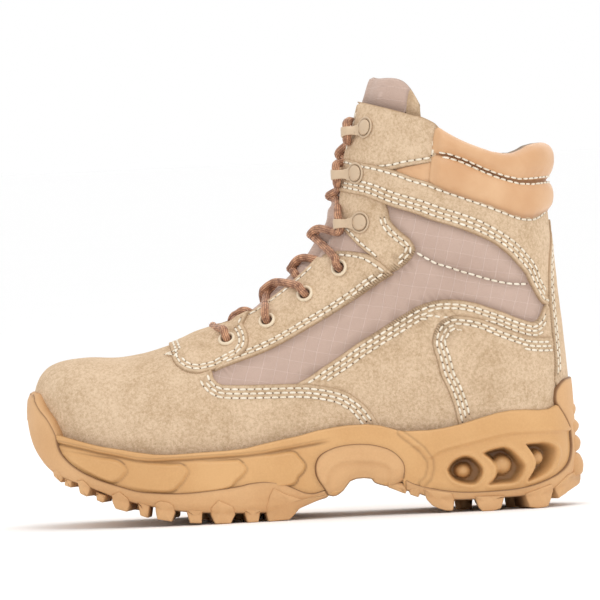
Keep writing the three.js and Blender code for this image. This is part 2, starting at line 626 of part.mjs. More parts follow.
function middleLugs(keep) {
  return MIDDLE_LUGS.filter(({ x }) => keep(x)).map(({ x, long, wide }) => {
    const points = [
      [-long, -wide / 2], [0, -wide], [long, -wide / 2], [long, wide / 2], [0, wide], [-long, wide / 2],
    ];
    const shape = new THREE.Shape(points.map(([px, py]) => new THREE.Vector2(px, py)));
    const geometry = new THREE.ExtrudeGeometry(shape, { depth: LUG_CUT_TOP, bevelEnabled: false });
    return solidOf(geometry.translate(x, 1, UNDER_FLOOR));
  });
}

function union(solids) {
  return solids.reduce((all, s) => all.add(s));
}

// Bars up the back of the heel, in side view.
const CLIMBING_BARS = [
  [[301, 57.5], [303.4, 56.4], [304.8, 54], [304.4, 51], [302.6, 48.4], [301, 48.4]],
  [[301, 48], [303.6, 47.4], [306, 44.8], [305.8, 42], [303.6, 39.6], [301, 39.4]],
  [[301, 39], [304.2, 38.4], [306.6, 35.4], [306.2, 31.6], [304.4, 29.6], [301, 29.2]],
  [[300.8, 28.8], [305, 28.4], [307.4, 24.4], [307.6, 20], [306, 16.4], [300.8, 16.4]],
];
const BAR_HALF_WIDTH = 12;

function outsoleForefoot(form, tread, cup) {
  const split = shifted(FORE_SPLIT, GAP);
  const body = form.intersect(sidePrism(
    [...split.slice(0, -1), ...BUMPER_EDGE, [AHEAD, ABOVE_RIM], [AHEAD, UNDER_FLOOR],
      [ARCH_FRONT, UNDER_FLOOR], [ARCH_FRONT, 12.9]],
    -HALF_SPAN, HALF_SPAN)).subtract(cup);
  const lugs = tread.intersect(union([...edgeLugs(FORE_LUGS), ...middleLugs((x) => x < 160)]));
  return body.add(lugs);
}

function outsoleHeel(form, tread, cup) {
  const split = shifted(HEEL_SPLIT, GAP).reverse();
  const tab = [...HEEL_TAB_EDGE].reverse().slice(1);
  const body = form.intersect(sidePrism(
    [...split.slice(0, -1), [293.4, 56], ...tab, [BEHIND, HEEL_TAB_EDGE[0][1]], [BEHIND, UNDER_FLOOR],
      [HEEL_FRONT, UNDER_FLOOR], [HEEL_FRONT, 12]],
    -HALF_SPAN, HALF_SPAN)).subtract(cup);
  const lugs = tread.intersect(union([...edgeLugs(HEEL_LUGS), ...middleLugs((x) => x > 220)]));
  const bars = union(CLIMBING_BARS.map((bar) => sidePrism(bar, -BAR_HALF_WIDTH, BAR_HALF_WIDTH)));
  return body.add(lugs).add(bars.subtract(cup));
}

function archBridge(form, cup) {
  const top = shifted(ARCH_TOP, GAP);
  return form.intersect(sidePrism([...top.slice(1), ...ARCH_UNDER], -HALF_SPAN, HALF_SPAN)).subtract(cup);
}

// ---------------------------------------------------------------- insole

const INSOLE_CUP = 4; // how much higher its edge stands at the heel

// The inside of the upper, up to a dished surface over the feather line.
function insoleSolid() {
  const inside = lastForm(UPPER_ROWS, -(WALL + GAP));
  const slab = loft(LAST.slice(1, CLOSED_ROW + 1).map((s) => {
    const cup = THREE.MathUtils.smoothstep(s.bx, 180, 260) * INSOLE_CUP;
    const top = s.bz + INSOLE_THICK;
    const across = [[-HALF_SPAN, cup], [-30, cup], [-18, 0], [18, 0], [30, cup], [HALF_SPAN, cup]];
    return [
      ...across.map(([y, up]) => new THREE.Vector3(s.bx, y, top + up)),
      ...across.reverse().map(([y]) => new THREE.Vector3(s.bx, y, s.bz - INSOLE_THICK)),
    ];
  }));
  return inside.intersect(slab);
}

// ---------------------------------------------------------------- lacing

const SIDES = [{ name: "lateral", sign: -1 }, { name: "medial", sign: 1 }];
// Where the four eyelets and three hooks of a side show, in side view.
const EYELET_PLACES = [[112.5, 100.5], [135.5, 110], [157, 123.8], [177, 138]];
const HOOK_PLACES = [[189, 162], [188, 189.5], [194, 214.5]];

// The frame of the surface at a place: its point, outward normal, and the direction towards the throat.
function surfaceFrame([x, z], sign) {
  const { u, a } = locate(x, z);
  const point = lastPoint(u, a, sign);
  const out = lastNormal(u, a, sign);
  const s = section(u);
  const front = new THREE.Vector3(s.tx - s.bx, 0, s.tz - s.bz).normalize();
  front.addScaledVector(out, -front.dot(out)).normalize();
  return { point, out, front, across: out.clone().cross(front) };
}

// The matrix that takes a shape drawn about Y, with X forward, to a place on the surface.
function placeMatrix(frame, lift) {
  const m = new THREE.Matrix4().makeBasis(frame.front, frame.out, frame.front.clone().cross(frame.out));
  return m.setPosition(frame.point.clone().addScaledVector(frame.out, lift));
}

const ROUND = 8; // sides of every turned piece

function eyeletPin(place, sign, radius) {
  const frame = surfaceFrame(place, sign);
  const pin = new THREE.CylinderGeometry(radius, radius, 16, ROUND);
  return solidOf(pin.applyMatrix4(placeMatrix(frame, 0)));
}

function eyeletSolid(place, sign) {
  const { outer, hole, barrel, proud } = EYELET;
  const foot = 0.6;
  const profile = [
    [hole, -WALL], [barrel, -WALL], [barrel, foot], [outer, foot], [outer - 0.4, foot + 0.5],
    [(outer + hole) / 2, proud], [hole + 0.3, foot + 0.5], [hole, -WALL],
  ].map(([r, y]) => new THREE.Vector2(r, y));
  const ring = solidOf(new THREE.LatheGeometry(profile, ROUND));
  const solid = ring.volume() > 0 ? ring : solidOf(new THREE.LatheGeometry(profile.reverse(), ROUND));
  return moved(solid, placeMatrix(surfaceFrame(place, sign), 0));
}

function moved(solid, matrix) {
  const e = matrix.elements;
  return solid.transform([...e]);
}

// A speed hook: a riveted base whose arm runs forward, folds outwards and comes back over it.
function hookSolid(place, sign) {
  const { base, cap, plate, dome, arm, reach, throat } = HOOK;
  const foot = 0.5;
  const over = foot + plate + 2 * throat; // underside of the upper arm
  const round = (profile) => solidOf(new THREE.LatheGeometry(
    profile.map(([r, y]) => new THREE.Vector2(r, y)), ROUND));
  const bottom = round([[0, foot], [base, foot], [base - 0.4, foot + plate], [0, foot + plate]]);
  const post = round([[0, foot + 0.5], [1.4, foot + 0.5], [1.4, over + 0.5], [0, over + 0.5]]);
  const crown = over + plate + dome;
  const top = round([[0, over], [cap, over], [cap - 0.3, over + plate], [cap * 0.6, crown], [0, crown]]);
  const fold = reach - throat - plate; // how far forward the fold's middle is
  const strip = new THREE.Shape();
  strip.moveTo(0, foot);
  strip.lineTo(fold, foot);
  strip.absarc(fold, foot + plate + throat, throat + plate, -Math.PI / 2, Math.PI / 2, false);
  strip.lineTo(0, over + plate);
  strip.lineTo(0, over);
  strip.lineTo(fold, over);
  strip.absarc(fold, foot + plate + throat, throat, Math.PI / 2, -Math.PI / 2, true);
  strip.lineTo(0, foot + plate);
  const bar = solidOf(new THREE.ExtrudeGeometry(strip, { depth: arm, bevelEnabled: false, curveSegments: 3 })
    .translate(0, 0, -arm / 2));
  return moved(union([bottom, post, top, bar]), placeMatrix(surfaceFrame(place, sign), 0));
}

// A cord along a smooth curve.
function cord(points) {
  const curve = new THREE.CatmullRomCurve3(points, false, "centripetal");
  const sides = 6;
  const shape = new THREE.Shape([...Array(sides).keys()].map((i) => new THREE.Vector2(
    LACE_RADIUS * Math.cos((2 * Math.PI * i) / sides), LACE_RADIUS * Math.sin((2 * Math.PI * i) / sides))));
  return solidOf(new THREE.ExtrudeGeometry(shape, { steps: 8, extrudePath: curve, bevelEnabled: false }));
}

// How a lace leaves its fastening: out of the surface, forward, and up or down the throat's edge.
const AT_EYELET = { out: 4.4, forward: 1.5, along: 3.2 };
const AT_HOOK = { out: 3.4, forward: HOOK.reach + LACE_RADIUS + 1, along: 3.2 };

function laceEnd({ place, hook }, sign, up) {
  const frame = surfaceFrame(place, sign);
  const { out, forward, along } = hook ? AT_HOOK : AT_EYELET;
  const upward = frame.across.z > 0 ? 1 : -1;
  return frame.point.clone().addScaledVector(frame.out, out).addScaledVector(frame.front, forward)
    .addScaledVector(frame.across, upward * up * along);
}

// The point over the tongue's middle at row u.
function overTongue(u, lift) {
  const s = section(u);
  const out = new THREE.Vector3(s.tx - s.bx, 0, s.tz - s.bz).normalize();
  return tonguePoint(u, 0, 0).addScaledVector(out, lift + LACE_RADIUS);
}

const LACE_ROWS = [
  ...EYELET_PLACES.map((place) => ({ place, hook: false })),
  ...HOOK_PLACES.map((place) => ({ place, hook: true })),
];
const LACE_ARCH = 2.9; // how much a lace's run rises between its end and the tongue's middle

// A lace from one side's fastening over the tongue to the other side's.
function laceRun(from, to, u, lift) {
  const s = section(u);
  const out = new THREE.Vector3(s.tx - s.bx, 0, s.tz - s.bz).normalize();
  const middle = overTongue(u, lift);
  const beside = (end) => end.clone().lerp(middle, 0.5).addScaledVector(out, LACE_ARCH);
  return cord([from, beside(from), middle, beside(to), to]);
}

// The pair of runs that cross between one row of fastenings and the next.
function laceCrossing(low, high) {
  const u = (locate(...low.place).u + locate(...high.place).u) / 2;
  return union([{ sign: -1, lift: 0.9 }, { sign: 1, lift: 4 }].map(({ sign, lift }) => (
    laceRun(laceEnd(low, sign, 1), laceEnd(high, -sign, -1), u, lift))));
}

function laceBar(low) {
  return laceRun(laceEnd(low, -1, -1), laceEnd(low, 1, -1), THROAT_ROW + 0.2, 2);
}

// ---------------------------------------------------------------- assembly

const FINISHES = {
  suede: { color: 0xd6bc94, roughness: 0.95, metalness: 0 },
  padding: { color: 0xd9a572, roughness: 0.55, metalness: 0 },
  nylon: { color: 0xb39a88, roughness: 0.9, metalness: 0 },
  lining: { color: 0xa08a74, roughness: 0.95, metalness: 0 },
  midsole: { color: 0xd6a66b, roughness: 0.6, metalness: 0 },
  rubber: { color: 0xd19f70, roughness: 0.7, metalness: 0 },
  enamel: { color: 0xc2ae92, roughness: 0.4, metalness: 0.3 },
  lace: { color: 0x9c6a4c, roughness: 0.9, metalness: 0 },
};

function mesh(name, solid, finish) {
  const m = solid.getMesh();
  const points = new Float32Array(m.numVert * 3);
  for (let i = 0; i < m.numVert; i++) {
    points.set(m.vertProperties.subarray(i * m.numProp, i * m.numProp + 3), i * 3);
  }
  const geometry = new THREE.BufferGeometry();
  geometry.setAttribute("position", new THREE.BufferAttribute(points, 3));
  geometry.setIndex(new THREE.BufferAttribute(m.triVerts.slice(), 1));
  geometry.computeVertexNormals();
  const made = new THREE.Mesh(geometry, new THREE.MeshStandardMaterial(FINISHES[finish]));
  made.name = name;
  return made;
}

const boot = new THREE.Group();
const form = soleForm();
const tread = treadForm();
const cup = lastForm(UPPER_ROWS, GAP, GAP * 1.5);

boot.add(mesh("upper", upperSolid(), "suede"));
boot.add(mesh("collar_pad", collarSolid(), "padding"));
boot.add(mesh("tongue", tongueSolid(), "nylon"));
boot.add(mesh("insole", insoleSolid(), "lining"));
boot.add(mesh("midsole", midsoleSolid(form, cup), "midsole"));
boot.add(mesh("outsole_forefoot", outsoleForefoot(form, tread, cup), "rubber"));
boot.add(mesh("outsole_heel", outsoleHeel(form, tread, cup), "rubber"));
boot.add(mesh("arch_bridge", archBridge(form, cup), "rubber"));
for (const { name, sign } of SIDES) {
  EYELET_PLACES.forEach((place, i) => {
    boot.add(mesh(`eyelet_${name}_${i + 1}`, eyeletSolid(place, sign), "enamel"));
  });
  HOOK_PLACES.forEach((place, i) => {
    boot.add(mesh(`hook_${name}_${i + 1}`, hookSolid(place, sign), "enamel"));
  });
}
boot.add(mesh("lace_bar", laceBar(LACE_ROWS[0]), "lace"));
for (let i = 0; i + 1 < LACE_ROWS.length; i++) {
  boot.add(mesh(`lace_cross_${i + 1}`, laceCrossing(LACE_ROWS[i], LACE_ROWS[i + 1]), "lace"));
}

// Centre the footprint on the origin, with the tread on the floor.
const box = new THREE.Box3().setFromObject(boot);
boot.position.set(-(box.min.x + box.max.x) / 2, -(box.min.y + box.max.y) / 2, -box.min.z);

export default boot;
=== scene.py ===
"""Looks for a left combat boot: suede panels, padded collar, laces and a moulded sole.

Sizes are millimetres on the boot's own axes: x from the toe bumper back to the heel, z up from the floor
and y from the outer (lateral, negative) side to the inner (medial, positive) side.
"""

import logging
import math
from dataclasses import dataclass, field, replace
from enum import Enum
from typing import Any, Callable, Sequence

import bmesh
import bpy
import numpy as np
from mathutils import Matrix, Vector
from mathutils.geometry import delaunay_2d_cdt
from mathutils.kdtree import KDTree

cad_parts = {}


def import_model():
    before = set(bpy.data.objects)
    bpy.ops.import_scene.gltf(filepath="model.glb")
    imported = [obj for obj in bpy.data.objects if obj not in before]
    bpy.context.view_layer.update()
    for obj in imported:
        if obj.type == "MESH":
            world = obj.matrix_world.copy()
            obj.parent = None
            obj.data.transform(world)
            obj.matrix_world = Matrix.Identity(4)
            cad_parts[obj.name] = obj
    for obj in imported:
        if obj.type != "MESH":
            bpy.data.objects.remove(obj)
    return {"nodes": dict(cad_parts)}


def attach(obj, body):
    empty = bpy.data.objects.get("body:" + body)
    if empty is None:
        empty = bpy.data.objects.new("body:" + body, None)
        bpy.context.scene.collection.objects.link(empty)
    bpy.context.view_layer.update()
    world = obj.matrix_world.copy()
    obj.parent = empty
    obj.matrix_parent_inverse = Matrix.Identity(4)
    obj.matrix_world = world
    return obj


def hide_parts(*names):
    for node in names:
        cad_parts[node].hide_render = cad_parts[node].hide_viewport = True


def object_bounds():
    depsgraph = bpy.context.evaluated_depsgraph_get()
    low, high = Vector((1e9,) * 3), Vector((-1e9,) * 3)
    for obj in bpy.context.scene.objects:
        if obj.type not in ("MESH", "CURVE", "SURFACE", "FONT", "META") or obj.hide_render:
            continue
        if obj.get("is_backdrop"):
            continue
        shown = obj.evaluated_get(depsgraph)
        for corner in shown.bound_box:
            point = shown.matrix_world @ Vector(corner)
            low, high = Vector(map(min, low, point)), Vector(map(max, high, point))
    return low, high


log = logging.getLogger("boot")

MM = 0.001
SOLE_MIDDLE = 0.5  # y of the sole's middle line at the ball
Points = np.ndarray
Loop = Sequence[tuple[float, float]]


class Side(Enum):
    """Which side of the boot, with the sign of its y."""

    LATERAL = -1
    MEDIAL = 1


# ---------------------------------------------------------------- numbers and curves


def smooth(value: Any, low: float, high: float) -> Any:
    """A soft step from 0 at low to 1 at high."""
    t = np.clip((np.asarray(value, float) - low) / (high - low), 0, 1)
    return t * t * (3 - 2 * t)


def bell(value: Any, width: float) -> Any:
    """A bump of height 1 at 0 that falls away over width."""
    return np.exp(-((np.asarray(value, float) / width) ** 2))


def unit(vectors: Points) -> Points:
    """Rows scaled to length 1."""
    return vectors / np.maximum(np.linalg.norm(vectors, axis=-1, keepdims=True), 1e-9)


def run_along(line: Points) -> np.ndarray:
    """How far along a line each of its points is."""
    return np.r_[0, np.cumsum(np.linalg.norm(np.diff(line, axis=0), axis=1))]


def read(line: Loop, at: Any) -> np.ndarray:
    """The second number of a line's points, where the first has the values at."""
    return np.interp(at, *np.array(line, float).T)


def whole_turn(count: int) -> np.ndarray:
    """Angles once round."""
    return np.linspace(0, 2 * np.pi, count, endpoint=False)


def signed_area(loop: Points) -> float:
    """Twice a closed loop's area, negative if it runs clockwise."""
    following = np.roll(loop, -1, axis=0)
    return float(np.sum(loop[:, 0] * following[:, 1] - following[:, 0] * loop[:, 1]))


def catmull(p0: Any, p1: Any, p2: Any, p3: Any, t: Any) -> Any:
    """A smooth curve from p1 to p2 that heads on from p0 and towards p3.

    Args:
        p0: the point before.
        p1: where the curve starts.
        p2: where it ends.
        p3: the point after.
        t: how far along, from 0 to 1.

    Returns:
        The curve's points.
    """
    m1, m2 = (p2 - p0) / 2, (p3 - p1) / 2
    return ((2 * t**3 - 3 * t**2 + 1) * p1 + (t**3 - 2 * t**2 + t) * m1
            + (3 * t**2 - 2 * t**3) * p2 + (t**3 - t**2) * m2)


def smooth_line(points: Sequence[Sequence[float]], spacing: float) -> Points:
    """A curve through points, as points about spacing apart.

    Args:
        points: the places that the curve passes through.
        spacing: how far apart the points of the result are.

    Returns:
        An array with a row for each point, the first and last as given.
    """
    p = np.asarray(points, float)
    if len(p) > 2:
        ends = np.vstack([2 * p[0] - p[1], p, 2 * p[-1] - p[-2]])
        t = np.linspace(0, 1, 12, endpoint=False)[:, None]
        pieces = [catmull(*ends[i:i + 4], t) for i in range(len(p) - 1)]
        p = np.vstack([*pieces, p[-1:]])
    return even(p, spacing)


def closed_line(points: Loop, spacing: float) -> Points:
    """A closed curve through points, without its first point again."""
    return smooth_line([*points, points[0]], spacing)[:-1]


def even(line: Points, spacing: float) -> Points:
    """The same line with its points evenly spaced, about spacing apart.

    Args:
        line: the line's points.
        spacing: how far apart the result's points are.

    Returns:
        The evenly spaced points.
    """
    run = run_along(line)
    count = max(2, int(round(run[-1] / spacing)) + 1)
    at = np.linspace(0, run[-1], count)
    return np.stack([np.interp(at, run, line[:, k]) for k in range(line.shape[1])], axis=1)


def inside(points: Points, loop: Points) -> np.ndarray:
    """Which 2-D points lie inside a closed loop.

    Args:
        points: a row for each point.
        loop: the closed loop's points.

    Returns:
        True for each point that does.
    """
    result = np.zeros(len(points), bool)
    x, y = points[:, 0], points[:, 1]
    for a, b in zip(loop, np.roll(loop, -1, axis=0)):
        crosses = (a[1] > y) != (b[1] > y)
        with np.errstate(divide="ignore", invalid="ignore"):
            at = a[0] + (y - a[1]) * (b[0] - a[0]) / (b[1] - a[1])
        result ^= crosses & (x < at)
    return result


def line_distance(points: Points, line: Points) -> np.ndarray:
    """How far each 2-D point is from a line of straight pieces.

    Args:
        points: a row for each point.
        line: the line's points.

    Returns:
        A distance for each point.
    """
    best = np.full(len(points), 1e9)
    for a, b in zip(line[:-1], line[1:]):
        d = b - a
        t = np.clip(((points - a) @ d) / max(d @ d, 1e-12), 0, 1)
        best = np.minimum(best, np.linalg.norm(points - a - t[:, None] * d, axis=1))
    return best


def depth_inside(points: Points, loop: Loop) -> np.ndarray:
    """How far inside a closed loop each 2-D point is, negative outside."""
    closed = np.asarray([*loop, loop[0]], float)
    return line_distance(points, closed) * np.where(inside(points, closed[:-1]), 1, -1)


class Table:
    """Rows of named columns, read at row numbers that need not be whole."""

    def __init__(self, columns: str, rows: Sequence[Sequence[float]]) -> None:
        """Keeps the columns by name."""
        self.values = dict(zip(columns.split(), np.asarray(rows, float).T))
        self.count = len(rows)

    def at(self, column: str, row: Any) -> np.ndarray:
        """One column's value at row numbers, on a smooth curve through the rows.

        Args:
            column: the column's name.
            row: row numbers.

        Returns:
            The values.
        """
        v = self.values[column]
        ends = np.r_[2 * v[0] - v[1], v, 2 * v[-1] - v[-2]]
        row = np.asarray(row, float)
        i = np.clip(np.floor(row).astype(int), 0, self.count - 2)
        return catmull(ends[i], ends[i + 1], ends[i + 2], ends[i + 3], row - i)

    def follow(self, x: Any, column: str, by: str = "x") -> np.ndarray:
        """One column's value where another, which only grows, has the values x."""
        return np.interp(x, self.values[by], self.values[column])


# ---------------------------------------------------------------- the last

LAST = Table("tx tz bx bz yc lat med wide round_t round_b", [
    (5.0, 64, 5.0, 47, 8, 0, 0, 0.74, 2.5, 2),
    (6.0, 77.5, 6.8, 43.5, 8, 0.36, 0.33, 0.74, 2.6, 2),
    (11, 86.3, 12.5, 41, 7.5, 0.6, 0.55, 0.75, 2.7, 2),
    (20, 90.6, 22, 38.5, 6.5, 0.78, 0.72, 0.76, 2.7, 2),
    (34, 92.2, 38, 34.5, 5, 0.91, 0.86, 0.77, 2.6, 2),
    (56, 91.8, 62, 30.3, 3, 0.99, 0.97, 0.78, 2.45, 2),
    (80, 97, 92, 28, 1, 1.0, 0.99, 0.78, 2.25, 2),
    (103, 106.5, 126, 30.5, 1, 0.93, 0.9, 0.78, 2.1, 2),
    (127, 118.5, 162, 36, 1.5, 0.84, 0.77, 0.77, 2.0, 2),
    (147, 134, 200, 39.2, 1.5, 0.78, 0.72, 0.74, 2.0, 2),
    (160, 147.5, 236, 40.3, 1, 0.76, 0.73, 0.66, 2.0, 2),
    (168, 158, 266, 41.2, 0.5, 0.76, 0.74, 0.58, 2.05, 2),
    (172, 165, 287, 42.3, 0, 0.76, 0.75, 0.53, 2.1, 2.1),
    (174, 169.5, 298, 44, 0, 0.76, 0.75, 0.5, 2.1, 2.2),
    (175.5, 173.5, 299, 66, 0, 0.76, 0.75, 0.5, 2.15, 2.25),
    (178, 182, 297.3, 95, 0, 0.77, 0.76, 0.5, 2.15, 2.25),
    (180.5, 190.5, 295, 125, 0, 0.79, 0.78, 0.5, 2.15, 2.25),
    (182.5, 200, 293, 158, 0, 0.82, 0.81, 0.52, 2.15, 2.3),
    (187.5, 214.5, 292, 178, 0, 0.83, 0.82, 0.52, 2.15, 2.3),
    (192, 229, 292, 192, 0, 0.84, 0.83, 0.52, 2.15, 2.3),
    (198, 243.5, 292, 202, 0, 0.84, 0.83, 0.52, 2.15, 2.3),
])
THROAT = Table("u half", [
    (7.0, 0.5), (7.06, 5), (7.2, 8.5), (7.5, 11), (8, 12.5), (9, 13), (10, 14), (12, 14.5),
    (15, 11.5), (17, 8), (19, 7), (20, 7),
])
# Soft creases and swells, in side view: place, which way it runs, how long and wide it is, and its height.
SWELLS = Table("x z turn long wide height", [
    (120, 82, 5, 40, 7, 1.0),
    (150, 90, 25, 40, 9, 1.2),
    (185, 108, 32, 40, 9, 1.2),
    (250, 143, -25, 38, 8, 2.6),
    (222, 156, -20, 26, 7, 1.2),
    (262, 128.5, -12, 34, 3.2, -1.6),
    (236, 135, -22, 22, 3.2, -1.2),
    (214, 128, -35, 26, 4, -0.8),
    (203, 116, 40, 22, 3.5, -0.7),
    (168, 100, 30, 24, 3, -0.5),
    (232, 125, 2, 26, 5, 0.8),
    (262, 150, -30, 16, 3, -0.8),
    (90, 76, 60, 20, 6, -0.5),
    (104, 62, 75, 18, 5, -0.4),
    (64, 84, 70, 20, 8, 0.4),
])


@dataclass(frozen=True)
class Last:
    """The form that the upper is pulled over, by row u and place s.

    s runs from -2 at the lateral feather line over 0 at the top to 2 at the medial one.
    """

    ball_half: float = 50
    heel_back: float = 298
    heel_depth: float = 37
    shaft_depth: float = 50
    closed_row: float = 13
    top_row: float = 19
    feather_tuck: float = 0.9
    row_step: float = 26  # about how far apart rows are, for even meshes
    place_step: float = 42  # about how far one unit of s reaches
    widest_turn: float = 1.985  # the furthest round that a panel goes

    def point(self, u: Any, s: Any, lift: Any = 0.0) -> Points:
        """Points of the surface.

        Args:
            u: row numbers.
            s: places in the rows, negative on the lateral side.
            lift: how far off the surface, along its outward direction.

        Returns:
            An array with a row of x, y, z for each point.
        """
        p = self._bare(u, s)
        if np.any(lift):
            p = p + self.normal(u, s) * np.broadcast_to(lift, np.shape(u))[..., None]
        return p

    def _bare(self, u: Any, s: Any) -> Points:
        """Points of the surface itself.

        Args:
            u: row numbers.
            s: places in the rows.

        Returns:
            An array with a row of x, y, z for each point.
        """
        u, s = np.broadcast_arrays(np.asarray(u, float), np.asarray(s, float))
        a = np.abs(s)
        get = {k: LAST.at(k, u) for k in LAST.values}
        half = np.maximum(0, np.where(s < 0, get["lat"], get["med"])) * self.ball_half
        upper = np.clip(a, 0, 1) * np.pi / 2
        lower = np.clip(a - 1, 0, 1) * np.pi / 2
        tuck = self.feather_tuck + (1 - self.feather_tuck) * smooth(u, self.closed_row, self.closed_row + 2)
        top = a <= 1
        down = np.where(
            top,
            get["wide"] * (1 - np.cos(upper) ** (2 / get["round_t"])),
            get["wide"] + (1 - get["wide"]) * np.sin(lower) ** (2 / get["round_b"]),
        )
        out = np.where(
            top,
            np.sin(upper) ** (2 / get["round_t"]),
            tuck + (1 - tuck) * np.clip(np.cos(lower), 0, 1) ** (2 / get["round_b"]),
        )
        x = get["tx"] + (get["bx"] - get["tx"]) * down
        z = get["tz"] + (get["bz"] - get["tz"]) * down
        depth = self.heel_depth + (self.shaft_depth - self.heel_depth) * smooth(z, 60, 190)
        back = np.where(u < self.closed_row, self.heel_back, get["bx"])
        past = np.maximum(0, (x - (back - depth)) / depth)
        wide = half * out * np.sqrt(np.clip(1 - past**2, 0, 1))
        swell = self._swell(x, z) * smooth(a, 0.25, 0.7) * (1 - smooth(past, 0.6, 0.95))
        return np.stack([x, get["yc"] + np.sign(s) * (wide + swell), z], axis=-1)

    @staticmethod
    def _swell(x: np.ndarray, z: np.ndarray) -> np.ndarray:
        """How far soft swells and creases move the surface out at a place in side view.

        Args:
            x: how far back places are.
            z: how high they are.

        Returns:
            A distance for each place.
        """
        total = np.zeros_like(x)
        t = SWELLS.values
        for i in range(SWELLS.count):
            turn = math.radians(t["turn"][i])
            dx, dz = x - t["x"][i], z - t["z"][i]
            along = dx * math.cos(turn) + dz * math.sin(turn)
            across = -dx * math.sin(turn) + dz * math.cos(turn)
            total += t["height"][i] * bell(along, t["long"][i] * 0.6) * bell(across, t["wide"][i])
        return total

    def slopes(self, u: Any, s: Any) -> tuple[Points, Points]:
        """How the surface moves for a step of u and for a step of s.

        Args:
            u: row numbers.
            s: places in the rows.

        Returns:
            The two directions.
        """
        h = 0.004
        u, s = np.broadcast_arrays(np.asarray(u, float), np.asarray(s, float))
        s = self._held(s)
        along = (self._bare(u + h, s) - self._bare(u - h, s)) / (2 * h)
        across = (self._bare(u, s + h) - self._bare(u, s - h)) / (2 * h)
        return along, across

    def _held(self, s: Any) -> np.ndarray:
        """Places kept clear of the feather line, where the surface ends."""
        return np.clip(s, -self.widest_turn, self.widest_turn)

    def normal(self, u: Any, s: Any) -> Points:
        """Outward directions."""
        return unit(np.cross(*self.slopes(u, s)))

    def chart(self, places: Any, side: Side) -> Points:
        """The u and s of places given in side view as x and z.

        Args:
            places: rows of x and z.
            side: the side of the boot.

        Returns:
            Rows of u and s.
        """
        places = np.asarray(places, float)
        x, z = places[:, 0], places[:, 1]
        low, high = np.full(len(x), 0.02), np.full(len(x), LAST.count - 1.0)
        for _ in range(40):
            middle = (low + high) / 2
            tx, tz, bx, bz = (LAST.at(k, middle) for k in ("tx", "tz", "bx", "bz"))
            past = (bx - tx) * (z - tz) - (bz - tz) * (x - tx) < 0
            high = np.where(past, middle, high)
            low = np.where(past, low, middle)
        tx, tz, bx, bz, wide = (LAST.at(k, low) for k in ("tx", "tz", "bx", "bz", "wide"))
        down = ((x - tx) * (bx - tx) + (z - tz) * (bz - tz)) / ((bx - tx) ** 2 + (bz - tz) ** 2)
        down = np.clip(down, 0, 1)
        first = np.arccos(np.clip(1 - down / wide, 0, 1) ** (LAST.at("round_t", low) / 2))
        share = np.clip((down - wide) / (1 - wide), 0, 1)
        second = np.arcsin(share ** (LAST.at("round_b", low) / 2))
        place = np.where(down < wide, first, np.pi / 2 + second) * 2 / np.pi
        return np.stack([low, side.value * np.minimum(place, self.widest_turn)], axis=1)

    def flat(self, chart: Points) -> Points:
        """A chart stretched so that its units are about millimetres."""
        return chart * (self.row_step, self.place_step)

    def unflat(self, flat: Points) -> Points:
        """The opposite of flat."""
        return flat / (self.row_step, self.place_step)

    def throat(self, u: Any, side: Side) -> np.ndarray:
        """The place s of the lace opening's edge in each row.

        Args:
            u: row numbers.
            side: the side of the boot.

        Returns:
            A place for each row.
        """
        u = np.asarray(u, float)
        half = np.maximum(0, LAST.at("lat" if side is Side.LATERAL else "med", u)) * self.ball_half
        share = np.clip(THROAT.follow(u, "half", by="u") / np.maximum(half, 1), 0, 1)
        opened = np.where(u < THROAT.values["u"][0], 0, 1)
        return side.value * opened * np.arcsin(share ** (LAST.at("round_t", u) / 2)) * 2 / np.pi


# ---------------------------------------------------------------- the sole's wall

SOLE = Table("x yc lat med base tread", [
    (0, 8, 0, 0, 60, 60), (0.8, 8, 15, 14, 51, 51), (3.5, 8, 27, 24.5, 42, 42), (9, 7.5, 37, 33, 34, 33.6),
    (18, 6.5, 45, 40.5, 28.5, 25), (32, 5, 51, 47, 23.2, 18.3), (52, 3, 55, 52.5, 15.2, 9.5),
    (80, 1, 57, 56, 8.6, 2.9), (105, 1, 55.5, 53.5, 6, 0), (135, 1, 51, 46.5, 5, 0), (150, 1, 48.5, 43, 7, 4),
    (168, 1.5, 46, 40, 12, 11), (205, 1, 43.5, 39.5, 13.5, 12), (220, 0.5, 43, 41, 9.5, 5),
    (235, 0.5, 42.5, 41.5, 7, 0), (260, 0, 41, 41, 7, 0), (278, 0, 36.5, 36.5, 7.5, 0),
    (290, 0, 29, 29, 9.5, 4.5), (298, 0, 19, 19, 13, 9), (301.6, 0, 9, 9, 18, 15), (302.6, 0, 0, 0, 26, 24),
])
# The underside between forefoot and heel, as x and z.
ARCH_UNDER = (
    (165, 12.6), (169, 12), (173.5, 14.8), (177.5, 19.8), (181, 21), (185.2, 21.2), (189.3, 20.6),
    (191, 18.3), (197, 16.2), (201, 16.2), (206.6, 18.6),
)
# How far the wall stands in from the outline: near its foot by height above it, and near its top by z.
FOOT_INSET = ((0, 3.6), (1.5, 2.4), (4, 0.9), (9, 0))
TOP_INSET = ((42, 0), (56, 0.3), (66, 0.5), (71, 1.1), (76, 3.4), (79, 6))


